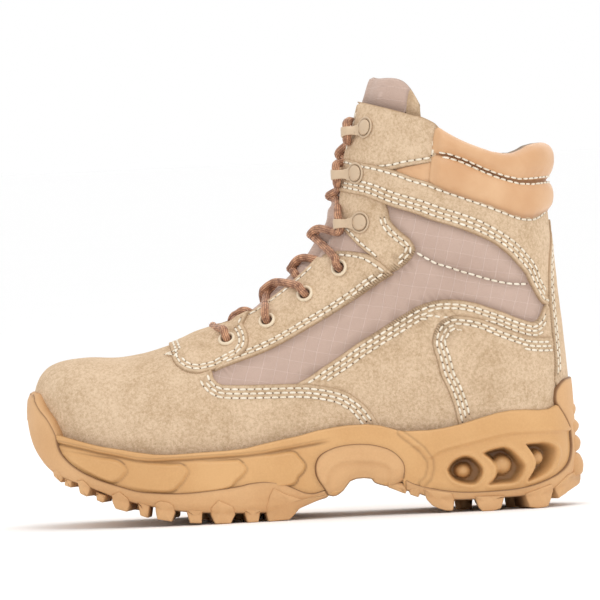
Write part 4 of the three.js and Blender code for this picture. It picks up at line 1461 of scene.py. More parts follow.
@dataclass(frozen=True)
class Leather:
    """Smooth, lightly pebbled collar leather."""

    name: str = "collar_leather"
    color: tuple = srgb(218, 176, 134)
    deep: tuple = srgb(204, 156, 112)

    def make(self) -> bpy.types.Material:
        """Builds the material.

        Returns:
            The material.
        """
        n = Nodes(self.name)
        pebble = n.cells(1150)
        wide = n.noise(48, 4)
        pore = n.noise(2400, 2)
        body = n.mix(wide.over(0.25, 0.8), self.deep, self.color)
        # Painted shade: towards dark brown where the shade mark is high, as in the collar's crease and along
        # the gusset's edges.
        color = n.mix((n.shade() * 0.9).clamped(), body, srgb(128, 80, 46))
        fine = n.bump(pebble * 0.7 + pore * 0.3, 0.00016, 0.55)
        normal = n.bump(n.noise(230, 3), 0.0008, 0.3, fine)
        rough = wide * 0.14 + pebble * 0.08 + 0.36
        return n.finish(Base_Color=color, Roughness=rough, Normal=normal, Coat_Weight=0.06,
                        Coat_Roughness=0.4)


@dataclass(frozen=True)
class Moulded:
    """Moulded foam or rubber, faintly mottled, with painted shade in its hollows, grooves and windows."""

    name: str
    color: tuple
    deep: tuple
    # hollow is the colour of the painted shade, mixed in by the shade mark
    hollow: tuple
    rough: float
    grain: float = 0.00012

    def make(self) -> bpy.types.Material:
        """Builds the material.

        Returns:
            The material.
        """
        n = Nodes(self.name)
        wide = n.noise(30, 4)
        speck = n.noise(900, 3, 0.7)
        body = n.mix((wide * 0.65 + speck * 0.35).over(0.3, 0.7), self.deep, self.color)
        color = n.mix(n.shade().clamped(), body, self.hollow)
        rough = wide * 0.12 + speck * 0.1 + (self.rough - 0.1)
        normal = n.bump(speck * 0.7 + n.noise(2600, 1) * 0.3, self.grain, 0.6)
        return n.finish(Base_Color=color, Roughness=rough, Normal=normal, Specular_IOR_Level=0.4)


@dataclass(frozen=True)
class Enamel:
    """Baked paint over steel, with random worn patches and painted shade in grooves and holes."""

    name: str
    color: tuple
    wear_and_shade: tuple = srgb(150, 128, 104)

    def make(self) -> bpy.types.Material:
        """Builds the material.

        Returns:
            The material.
        """
        n = Nodes(self.name)
        patch = n.noise(420, 3)
        # The second colour serves both the random worn patches and the painted shade where the shade mark is
        # high.
        color = n.mix((patch.over(0.62, 0.75) * 0.35 + n.shade() * 0.5).clamped(), self.color, self.wear_and_shade)
        normal = n.bump(n.noise(1400, 2), 0.00012, 0.5)
        return n.finish(Base_Color=color, Roughness=patch * 0.2 + 0.3, Normal=normal, Metallic=0.15)


@dataclass(frozen=True)
class Braid:
    """Round braided cord or thread."""

    name: str
    light: tuple
    dark: tuple
    fibre: float = 2600
    rough: float = 0.7

    def make(self) -> bpy.types.Material:
        """Builds the material.

        Returns:
            The material.
        """
        n = Nodes(self.name)
        hair = n.noise(self.fibre, 2, 0.6)
        body = n.mix((hair * 0.5 + n.noise(300, 2) * 0.5).over(0.35, 0.65), self.dark, self.light)
        # Painted shade: towards the dark colour where the shade mark is high, as between the lace's ribs.
        color = n.mix(n.shade().clamped(), body, self.dark)
        return n.finish(Base_Color=color, Roughness=self.rough, Normal=n.bump(hair, 0.0002, 0.7),
                        Sheen_Weight=0.2, Sheen_Roughness=0.4)


@dataclass(frozen=True)
class Lining:
    """Brushed mesh lining."""

    name: str = "mesh_lining"
    color: tuple = srgb(176, 150, 124)
    deep: tuple = srgb(120, 98, 78)

    def make(self) -> bpy.types.Material:
        """Builds the material.

        Returns:
            The material.
        """
        n = Nodes(self.name)
        knit = n.cells(620)
        color = n.mix((knit * 1.3 + n.noise(60, 3) * 0.4 - 0.3).clamped(), self.color, self.deep)
        return n.finish(Base_Color=color, Roughness=0.93, Normal=n.bump(knit, 0.0004, 0.8),
                        Sheen_Weight=0.2, Sheen_Roughness=0.5)


class Finishes:
    """Every material of the boot."""

    def __init__(self) -> None:
        """Makes them."""
        self.suede = Suede().make()
        self.nylon = Ripstop("ripstop_side", (1.0, 0.0)).make()
        self.tongue = Ripstop("ripstop_tongue", (0.8, 0.62)).make()
        self.leather = Leather().make()
        self.lining = Lining().make()
        # The third colour of each moulded finish is its painted shade colour.
        self.foam = Moulded(
            "moulded_midsole", srgb(214, 168, 114), srgb(202, 154, 100), srgb(92, 58, 28), 0.42).make()
        self.rubber = Moulded(
            "moulded_outsole", srgb(214, 170, 122), srgb(202, 156, 108), srgb(100, 64, 36), 0.62).make()
        self.enamel = Enamel("hook_enamel", srgb(202, 177, 148)).make()
        self.cream = Enamel("eyelet_enamel", srgb(226, 208, 180)).make()
        self.thread = Braid("cream_thread", srgb(246, 238, 222), srgb(222, 208, 184)).make()
        # The needle holes are flat dark discs: painted shade.
        self.hole = Braid("needle_hole_shade", srgb(112, 86, 60), srgb(84, 62, 42)).make()
        self.lace = Braid("brown_lace", srgb(232, 176, 136), srgb(108, 66, 46)).make()


# ---------------------------------------------------------------- upper


@dataclass(frozen=True)
class ThroatEdge:
    """A stretch of outline that follows the lace opening, between two rows of the last."""

    start: float
    end: float
    rows: tuple[float, ...] = ()
    trim: tuple[float, float] = (0, 0)

    def line(self, last: Last, side: Side) -> Points:
        """Chart places along it."""
        u = np.linspace(self.start, self.end, max(4, int(abs(self.end - self.start) * 10)))
        return np.stack([u, last.throat(u, side)], 1)


PLAIN = Edge(())
DOUBLE = (2.8, 5.2)
TRIPLE = (2.8, 5.2, 7.6)
# The vamp's lower edge at the toe, as rows and places of the last.
TOE_LOW = (
    (6.0, -1.97), (4.0, -1.97), (2.6, -1.93), (2.0, -1.84), (1.5, -1.7), (1.0, -1.42), (0.6, -1.1),
    (0.3, -0.85), (0.12, -0.75),
)
FOLD = (
    (219.5, 144.5), (225, 141), (230, 138), (240, 134.5), (250, 131), (260, 127.5), (270, 125),
    (281, 124.4),
)
VAMP_TOP = (
    (98, 88), (103.5, 84.5), (104.4, 80.5), (106.6, 77.8), (110, 76.4), (120, 75.8), (130, 75.6),
    (140, 75.4), (150, 75.1), (160, 74), (170, 72), (177, 69.5), (183, 65.5), (188, 61), (191.3, 56.5),
    (194, 52), (196.5, 46), (197.5, 41.5),
)
YOKE_FRONT = (
    (81.5, 93), (82.3, 90), (84, 87), (87, 84.6), (90, 83.1), (94, 82.3), (98, 82.4), (102, 83.5),
    (106, 84.6), (110, 86.5), (115, 89), (120, 91.2), (123, 94), (124.6, 97), (125, 100.5), (124.3, 104),
    (122.5, 107.5),
)
QUARTER_TOP = (
    (148, 74), (152, 76), (158, 79), (165, 83.5), (175, 89.5), (185, 96), (195, 101.7), (205, 107.5),
    (213, 112), (220, 115.4), (230, 117.8), (240, 117.6), (250, 115.6), (258, 112.7), (266, 109.5),
    (273, 106.2), (280, 103.6), (283, 103.4), (286, 106), (288, 110), (290, 114),
)
COUNTER_FRONT = (
    (296, 95.5), (290, 94.3), (280, 95), (273, 97.5), (265, 101), (258, 104.5), (250, 107.5), (240, 109),
    (236, 108.4), (231, 106), (228, 102), (226.2, 97), (226.2, 92), (228, 85), (230, 76), (233, 69),
    (236, 60), (238, 50), (238.6, 46.5),
)
FACING_LOW = (
    (104, 83), (107, 84.2), (110, 85.5), (120, 88.7), (130, 91.8), (140, 95.8), (150, 100.7), (160, 106),
    (170, 111.2), (180, 117), (190, 123.2), (200, 129.4), (206.5, 132.9),
)
FACING_TOP = (
    (206.5, 132.9), (204.8, 135.2), (202.8, 137.2), (198.5, 141), (194.2, 144), (188, 145.8), (182, 146.9),
    (176, 147.2), (170.5, 146.6),
)
MIDDLE_REAR = (
    (204, 174), (205.3, 168), (206.2, 163), (208.2, 160), (212, 156), (216, 152.5), (218.6, 148.5),
    (219.2, 145.4), (217, 141.6), (213, 137.8), (209, 135.2), (205.5, 134), (202, 134.6),
)
STRAP_TOP = (
    (180.5, 196.2), (185, 197.6), (190, 196), (200, 193.6), (210, 190.4), (220, 186.2), (227, 183.8),
    (235, 180.4), (245, 176.4), (255, 172.4), (262, 169.4), (270, 165.7), (277, 162.7), (283, 161.8),
    (286.5, 162.6), (290, 164.8), (293.6, 167.4),
)
STRAP_LOW = (
    (292.6, 110.5), (288, 112.8), (285.6, 116), (283, 121), (280.6, 126), (279, 130), (275, 135.2),
    (270, 141), (265, 145.5), (260, 149), (250, 154), (240, 158), (230, 161.5), (220, 165.8), (210, 169.4),
    (204, 171.8), (195, 176), (185, 178.5), (179.5, 179.8),
)
TOP_EDGE = (
    (191, 229.2), (193.6, 228.8), (200, 227), (210, 224), (220, 220.8), (225, 219.6), (232, 216),
    (235, 213),
)
TOP_REAR = ((235, 213), (234.8, 206), (234, 199), (231.5, 193.7))
TOP_LOW = ((231.5, 193.7), (225, 193), (215, 191.8), (208, 190.4), (196, 190), (184, 192))
BACKSTAY_SIDE = (
    (293.8, 157), (292.8, 145), (291.6, 136), (291, 128), (290.6, 118), (291, 107), (291.6, 95),
    (292.2, 80), (291, 68),
)


# The lower side panel between vamp and counter.
QUARTER = Panel((
    Edge(QUARTER_TOP, TRIPLE, (5, 3)), Edge(((290, 114), (293, 104), (292.4, 95), (291, 85), (290.5, 44))),
    Edge(((290.5, 44), (260, 41.6), (225, 40.6), (195, 39.4))),
    Edge(((195, 39.4), (188, 52), (178, 62), (164, 68.5), (148, 74)))), thick=1.4)
# The panel of the three upper eyelets, along the throat.
FACING = Panel((
    Edge(FACING_LOW, DOUBLE, (5, 3)), Edge(FACING_TOP, (2.6,), (4, 3)),
    ThroatEdge(10.15, 7.6, (2.6,), (3, 3)),
    Edge(((120, 106), (115, 97), (109, 90), (104, 83)))), thick=1.35, rises=(Rise(182, 12, 1.5),))
# The ankle strap, from the hooks round under the collar and down the back.
STRAP = Panel((
    Edge(STRAP_TOP, (2.2,), (3, 1)),
    Edge(((293.6, 167.4), (294.6, 158), (294.4, 145), (293.4, 130), (292.6, 110.5))),
    Edge(STRAP_LOW, TRIPLE, (1, 2)), Edge(((179.5, 179.8), (179.6, 184), (179.9, 190), (180.5, 196.2)))),
    level=0.1, thick=1.3, rises=(Rise(237, -24, 1.25),))
# The small leather corner between the top hook panel, the strap and the collar.
GUSSET = Panel((
    Edge(((203, 188), (212, 191.5), (224, 193.8), (236, 195.6))),
    Edge(((236, 195.6), (231, 187), (227, 180))),
    Edge(((227, 180), (215, 184), (203, 188)))), thick=1.0)
# The panels that the lowest and the top hook are riveted to. The middle hook goes through the strap.
HOOK_PANELS = (
    Panel((
        ThroatEdge(14.75, 12.3, (2.6,), (6, 1)),
        Edge(((176, 162.6), (181.1, 157), (187.5, 149.7), (194.2, 143.4), (202, 134.6)), (2.6,), (1, 9)),
        Edge(MIDDLE_REAR[::-1], DOUBLE, (6, 8)), Edge(((204, 174), (190, 180), (178, 183)))), thick=1.3),
    Panel((
        ThroatEdge(16.4, 19.0, (2.6,), (8, 3)), Edge(TOP_EDGE), Edge(TOP_REAR, (3,), (4, 1)),
        Edge(TOP_LOW, (3,), (1, 14))), level=0.15, thick=1.35),
)
VAMP = Panel((PLAIN, Edge((), TRIPLE, (7, 9)), PLAIN, PLAIN), thick=1.4, rises=(Rise(146, 14, 1.3),))
YOKE = Panel((Edge((), DOUBLE), Edge((), DOUBLE), Edge((), DOUBLE, (0, 2)), PLAIN), thick=1.35,
             rises=(Rise(106, -12, 1.3), Rise(115, 5, 1.3)))
COUNTER = Panel((PLAIN, Edge((), TRIPLE, (12, 3)), PLAIN, PLAIN), thick=1.35, rises=(Rise(292.5, -3, 1.4),))
BACKSTAY = Panel((Edge((), (2.6,)), Edge((), DOUBLE, (1, 3)), PLAIN), level=1.35, thick=1.1)


@dataclass
class Upper:
    """The upper: a hollow shell of nylon and lining with suede panels sewn over it."""

    last: Last
    heel: HeelChart
    stitching: Stitching
    fine: float
    wall: float = 2.6
    top_row: float = 19
    collar_row: float = 18.15  # the shell ends inside the padded collar
    collar_x: float = 233
    columns: int = 44
    row_step: float = 0.1
    hole: float = 3.3  # radius cut for an eyelet
    shell_hole: float = 4.3

    def build(self, shop: Workshop, looks: Finishes) -> None:
        """Makes the shell and every panel.

        Args:
            shop: what makes pieces.
            looks: the materials.
        """
        shop.piece("upper_shell", self.shell(), [looks.nylon, looks.lining], ["upper"])
        for side in Side:
            places = even(self.heel.flat(self.heel.chart(FOLD, side)), 0.8)
            u, v = self.heel.unflat(places).T
            self.stitching.sew(self.heel.point(u, v, 0.1), self.heel.normal(u, v))
        front = PanelMaker(self.last, self.stitching, self.fine)
        front.holes = [((f.x, f.z), self.hole) for f in FASTENINGS if not f.hook]
        back = PanelMaker(self.heel, self.stitching, self.fine)
        for name, maker, work, *panels in (
            ("quarters", front, self.both, QUARTER), ("vamp", front, self.vamp),
            ("hook_panels", front, self.both, *HOOK_PANELS), ("facings", front, self.both, FACING),
            ("yoke", front, self.yoke), ("heel_counter", back, self.counter),
            ("ankle_straps", front, self.both, STRAP), ("backstay", back, self.backstay),
            ("collar_gussets", front, self.both, GUSSET),
        ):
            shape = Shape()
            work(maker, shape, *panels)
            finish, slot = (looks.leather, "padding") if GUSSET in panels else (looks.suede, "suede")
            shop.piece(name, shape, [finish], tidy=False)

    def shell(self) -> Shape:
        """The wall from the feather line to the top, open at the throat, the collar and underneath.

        Returns:
            The shell.
        """
        shape = Shape()
        rows = np.arange(0, self.top_row + 0.01, self.row_step * max(1, self.fine))
        for side in Side:
            across = np.linspace(0, 1, self.columns)
            start = self.last.throat(rows, side)
            s = start[:, None] + (side.value * 2 - start[:, None]) * across
            u = np.broadcast_to(rows[:, None], s.shape).copy()
            at = self.last.point(u, s)
            limit = self.collar_row + (self.top_row - self.collar_row) * (1 - smooth(
                at[..., 0], self.collar_x - 3, self.collar_x + 5))
            u = np.minimum(u, limit)
            # seam holds painted shadow along the fold and where the panels meet the nylon; the inner side
            # gets a little painted shade.
            seam = self._nylon_shade(at[..., 0], at[..., 2])
            outer = self.last.point(u, s)
            inner = self.last.point(u, s, -self.wall)
            flip = side is Side.LATERAL
            a = shape.add(outer, [], seam).reshape(u.shape)
            b = shape.add(inner, [], 0.2).reshape(u.shape)
            between = ((k[1:, 1:] + k[:-1, :-1]) / 2 for k in (u, s))
            middle = self.last.point(*between).reshape(-1, 3)
            whole = np.ones(len(middle), bool)
            for eyelet in (f for f in FASTENINGS if not f.hook):
                centre = stand(self.last, eyelet, side).point
                whole &= np.linalg.norm(middle - centre, axis=1) > self.shell_hole
            shape.link(quads(a, flip=flip)[whole], 0)
            shape.link(quads(b, flip=not flip)[whole], 1)
            shape.seal(a, b, flip)
        return shape

    @staticmethod
    def _nylon_shade(x: np.ndarray, z: np.ndarray) -> np.ndarray:
        """Shadow along the fold and where panels meet the nylon.

        Args:
            x: how far back places are.
            z: how high they are.

        Returns:
            A shade for each place.
        """
        flat = np.stack([x.reshape(-1), z.reshape(-1)], 1)
        lines = (FOLD, QUARTER_TOP, FACING_LOW, STRAP_LOW, MIDDLE_REAR)
        near = np.min([line_distance(flat, np.array(line, float)) for line in lines], axis=0)
        return (0.55 * bell(near, 2.2)).reshape(x.shape)

    def both(self, maker: PanelMaker, shape: Shape, *panels: Panel) -> None:
        """Lays panels on both sides.

        Args:
            maker: what lays panels.
            shape: what is added to.
            panels: the panels.
        """
        for panel in panels:
            for side in Side:
                edges = [maker.straight(edge.line(self.last, side)) if isinstance(edge, ThroatEdge)
                         else maker.line(edge.places, side) for edge in panel.edges]
                maker.lay(shape, panel, side, edges)

    def crossing(self, maker: PanelMaker, shape: Shape, panel: Panel, *edges: Points) -> None:
        """Lays a panel that runs across the middle of the boot, from its lateral edges' chart places."""
        copies = [(edge * (1, -1))[::-1] for edge in reversed(edges)]
        maker.lay(shape, replace(panel, edges=panel.edges + panel.edges[::-1]), edges=[*edges, *copies])

    def vamp(self, maker: PanelMaker, shape: Shape) -> None:
        """The toe and forefoot, which pass under the yoke and over the quarters.

        Args:
            maker: what lays panels.
            shape: what is added to.
        """
        top = maker.line(VAMP_TOP)
        start = maker.straight([(6.5, 0), (6.5, -0.2), top[0]])
        nose = maker.straight([TOE_LOW[-1], (TOE_LOW[-1][0], 0)])
        self.crossing(maker, shape, VAMP, start, top, maker.straight([top[-1], *TOE_LOW]), nose)

    def yoke(self, maker: PanelMaker, shape: Shape) -> None:
        """The panel of the lowest eyelets, which wraps round the foot of the throat.

        Args:
            maker: what lays panels.
            shape: what is added to.
        """
        side = maker.line(YOKE_FRONT)
        throat = maker.straight(ThroatEdge(7.95, 6.98).line(self.last, Side.LATERAL))
        front = maker.straight([(6.02, 0), (6.03, -0.12), (6.06, -0.3), side[0]])
        self.crossing(maker, shape, YOKE, front, side, maker.straight([side[-1], throat[0]]), throat)

    def counter(self, maker: PanelMaker, shape: Shape) -> None:
        """The heel counter, round the back from side to side.

        Args:
            maker: what lays panels.
            shape: what is added to.
        """
        front = maker.line(COUNTER_FRONT)
        foot = maker.line(((238.6, 46.5), (262, 45.5), (285, 46), (297, 47)))
        self.crossing(maker, shape, COUNTER, maker.straight([front[0] * (1, 0), front[0]]), front, foot,
                      maker.straight([foot[-1], foot[-1] * (1, 0)]))

    def backstay(self, maker: PanelMaker, shape: Shape) -> None:
        """The strip up the back seam.

        Args:
            maker: what lays panels.
            shape: what is added to.
        """
        side = maker.line(BACKSTAY_SIDE)
        peak = (side[0, 0] + 0.12, 0)
        self.crossing(maker, shape, BACKSTAY, maker.straight([peak, side[0]]), side,
                      maker.straight([side[-1], side[-1] * (1, 0)]))


# ---------------------------------------------------------------- sole

RIM = (
    (0, 58), (9, 55), (16.5, 52.7), (20, 51.7), (30, 48.5), (40, 45.7), (50, 43.8), (60, 41.7), (70, 40),
    (80, 39.5), (95, 40), (110, 40.3), (120, 41), (130, 43), (140, 44.8), (150, 46.5), (160, 48.8),
    (170, 50.3), (178, 51), (188, 51), (195, 50), (200, 48.5), (206, 46.5), (212, 46.2), (222, 46.2),
    (230, 47), (240, 48.8), (250, 51.5), (260, 54), (268, 55), (275, 55), (283, 54.3), (289, 54.5),
    (293, 56.3), (303, 60),
)
RIM_GROOVE = (
    (16, 48), (20, 47), (30, 44.5), (40, 41.7), (50, 39.5), (60, 37), (68, 36), (75, 36), (100, 36.5),
    (120, 36.8), (130, 37.5), (140, 38.8), (150, 40.2), (160, 41.5), (168, 42.6),
)
HEEL_BAND = (
    (216, 37), (218, 35.5), (221, 31), (222, 30.2), (225, 32.5), (230, 34.8), (240, 37), (250, 39),
    (260, 41), (268, 42.3), (280, 42.2), (293, 41.8), (299, 41.5),
)
ARCH_FLANGE = (
    (206, 46), (208, 44), (213, 40), (218, 35.5), (221, 31), (222, 29), (222, 25), (220.5, 20), (217, 16.5),
)
LOBES = (
    ((16, 44), (26, 42.5), (38, 40), (50, 37.5), (54.5, 32.2), (53, 29), (50, 26.5), (44, 26), (30, 33),
     (20, 40)),
    ((44, 30), (55, 37), (66, 35.6), (78, 34.5), (85, 34), (88.5, 30), (87, 27), (84, 23), (77, 19),
     (60, 21), (48, 25)),
    ((76, 26), (88, 35), (101, 35), (114, 35), (117, 34.5), (120.5, 30), (119, 27), (115, 23.5), (108, 19),
     (84, 18)),
    ((106, 26), (122, 36), (134, 37), (146, 38), (150, 34.5), (152.8, 30.5), (152, 27), (149, 24),
     (143, 19), (112, 18)),
)
WINDOWS = (
    ((231, 23.5), (233, 27), (236, 29.5), (240, 31), (244, 30.7), (248, 28), (250.5, 24.5), (251, 22),
     (250, 19), (247, 15.5), (243, 15), (237, 16.5), (233, 19.5)),
    ((251, 32), (255, 33.7), (262, 35), (266, 34), (270, 30.5), (273.5, 26), (274.5, 23.5), (273.5, 20.5),
     (271, 17), (268, 15), (260, 14.5), (253.5, 14.5), (256, 17), (258, 20), (258, 24), (255.5, 28)),
    ((275, 36), (282, 36.3), (287, 36), (291, 34), (293, 31), (292, 26), (289, 21.5), (284, 18),
     (278, 15.7), (275.5, 15.5), (278, 19), (280.5, 24), (280, 28), (278, 32)),
)


@dataclass(frozen=True)
class Pod:
    """A cushion that shows in a heel window: its middle, its half sizes and how far out it comes."""

    x: float
    z: float
    long: float
    tall: float
    depth: float


PODS = (Pod(239.8, 22.8, 4.6, 4.2, 2.6), Pod(262.5, 25, 6.2, 5.6, 2.2), Pod(284, 27.8, 4.0, 4.6, 2.4))
FORE_SPLIT = (
    (16.5, 52.5), (17, 48), (18, 44.5), (20, 41), (24, 36.5), (30, 32), (35, 29.3), (40, 27), (50, 23.5),
    (60, 20.3), (70, 19), (80, 18.3), (90, 18.3), (100, 19), (115, 20.5), (122, 21.8), (131, 22.3),
    (140, 20.7), (147, 17.5), (152, 15.2), (157, 14.5), (163, 16),
)
HEEL_SPLIT = (
    (207.5, 20), (213, 17), (220, 14.8), (230, 12.5), (240, 11.3), (250, 11), (260, 11.2), (270, 11.8),
    (280, 13.7), (290, 17.3), (296, 21.5), (299, 26), (300.2, 32), (300, 40), (299.3, 44.5), (297, 50),
    (294, 55.5), (292.6, 58), (292.6, 62), (293.6, 65.2), (296.5, 68.5), (299.5, 70.5),
)
BUMPER_TOP = ((0.4, 75.6), (2.6, 74.8), (5, 71), (8, 66.5), (12, 61.5), (15, 56), (16.5, 52.5))
ARCH_OUTER = (
    (164.8, 12.8), (163, 16), (160, 20.5), (158.5, 24), (158, 27.5), (158.5, 31), (160, 34), (163, 36.6),
    (168, 38.8), (173, 40), (180, 40.6), (188, 40.2), (195, 38.6), (200, 36.6), (204, 33.6), (207, 29.6),
    (207.9, 26), (207.5, 22), (206.6, 18.6),
)
ARCH_INNER = (
    (160, 10), (164, 23), (166, 27), (168.5, 29.4), (172, 31), (180, 32), (190, 31), (196, 29.5), (200, 27),
    (201, 24), (200.6, 20), (200, 8),
)


@dataclass(frozen=True)
class Lug:
    """One lug of the tread's edge, in side view, and how far it reaches under the sole."""

    outline: Loop
    depth: float
    raised: bool = False  # whether its face stands up the side in a faceted block


FORE_LUGS = (
    Lug(((11, 33), (12, 29.5), (16, 26.2), (17.4, 29), (16, 34)), 24),
    Lug(((18.3, 28.5), (18.3, 24.6), (22, 23.3), (22.4, 27.5)), 12),
    Lug(((26, 27), (26.3, 24), (27.5, 20), (31.5, 18), (33, 22), (33, 24), (30, 27.6)), 20, True),
    Lug(((36, 20.5), (36.5, 16), (40, 14.3), (41.6, 18.5)), 12),
    Lug(((45, 18.5), (45.2, 15), (47, 11), (53.5, 9), (54.8, 12.5), (54.5, 16.5), (50, 20.5)), 20, True),
    Lug(((59, 14.5), (60.5, 6.7), (64.5, 5.3), (66, 12)), 12),
    Lug(((69, 13), (69, 9), (70, 4.3), (78, 2.7), (80, 7.5), (79.5, 11.5), (77, 13.5), (72, 14.5)), 22, True),
    Lug(((86, 9), (88, 1.5), (94.5, 0.9), (95.6, 8)), 13),
    Lug(((99.6, 9), (100, 5), (102, 0.35), (110.5, 0), (113.5, 5), (112, 9.5), (104, 13.4)), 22, True),
    Lug(((118, 7.5), (120, 0.1), (126, 0), (127.8, 7)), 13),
    Lug(((130.2, 8), (130.6, 4), (131.5, 0), (143, 0.5), (146, 3), (149, 6.3), (155, 8.5), (163, 11.6),
         (163, 14), (150, 11.5), (141, 15), (134.5, 18.8), (132, 14)), 20, True),
)
HEEL_LUGS = (
    Lug(((198, 18), (198, 15.6), (203, 13.5), (207.5, 11.5), (208.5, 13.5), (206, 18)), 16),
    Lug(((209.5, 14), (210, 11), (214.5, 9.3), (215.8, 12), (215, 15)), 14),
    Lug(((217.5, 14), (218, 11), (219, 8), (222, 4.5), (226, 2.5), (230, 1.2), (233.4, 1.2), (234.5, 7),
         (233, 11)), 20, True),
    Lug(((245.5, 8.5), (247.5, 2.4), (249.5, 0), (256, 0), (260, 1.2), (262.6, 8)), 18, True),
    Lug(((274, 8.5), (276, 0.9), (281, 0), (286.5, 0.5), (288, 3.6), (290.8, 9.4), (288, 13)), 18, True),
    Lug(((291.4, 11), (293, 4.6), (297, 6.6), (302, 10.5), (304, 14.5), (302.5, 19), (297, 17)), 26, True),
)


@dataclass(frozen=True)
class MiddleLug:
    """A lug down the middle of the tread: its centre and half sizes."""

    x: float
    long: float
    wide: float


MIDDLE_LUGS = (
    MiddleLug(36, 6, 11), MiddleLug(56, 6, 14), MiddleLug(76, 6, 15), MiddleLug(96, 6, 15),
    MiddleLug(116, 6, 13), MiddleLug(135, 5, 11), MiddleLug(240, 4.5, 11), MiddleLug(254, 4.5, 11),
    MiddleLug(268, 4.5, 10),
)
CLIMBING_BARS = (
    ((300.2, 57.8), (303.4, 56.4), (304.8, 54), (304.4, 51), (302.6, 48.4), (300.4, 48.2)),
    ((300.4, 47.8), (303.6, 47.4), (306, 44.8), (305.8, 42), (303.6, 39.6), (300.6, 39.4)),
    ((300.6, 39), (304.2, 38.4), (306.6, 35.4), (306.2, 31.6), (304.4, 29.6), (300.6, 29.2)),
    ((300.4, 28.8), (305, 28.4), (307.4, 24.4), (307.6, 20), (306, 16.4), (300, 15.8)),
)


class HeelWall(SoleWall):
    """The same wall, charted from the middle of the back: v is 0 there and grows towards the medial side."""

    def _run(self, v: Any) -> np.ndarray:
        """The run w for a place v."""
        v = np.asarray(v, float)
        return np.where(v <= 0, self.first - v, self.last - v)

    def x(self, w: Any) -> np.ndarray:
        """The outline's x."""
        return super().x(self._run(w))

    def base(self, w: Any) -> np.ndarray:
        """The height of the sole's underside."""
        return super().base(self._run(w))

    def point(self, w: Any, z: Any, lift: Any = 0.0) -> Points:
        """Points of the wall, moved out by lift."""
        return self.from_run(self._run(w), z, lift)

    def normal(self, w: Any, z: Any) -> Points:
        """Outward directions."""
        return super().normal(self._run(w), z)

    def chart(self, places: Any, side: Side) -> Points:
        """The v and z of places given in side view as x and z.

        Args:
            places: rows of x and z.
            side: the side of the boot.

        Returns:
            Rows of v and z.
        """
        found = super().chart(places, side)
        end = self.first if side is Side.LATERAL else self.last
        return np.stack([end - found[:, 0], found[:, 1]], 1)


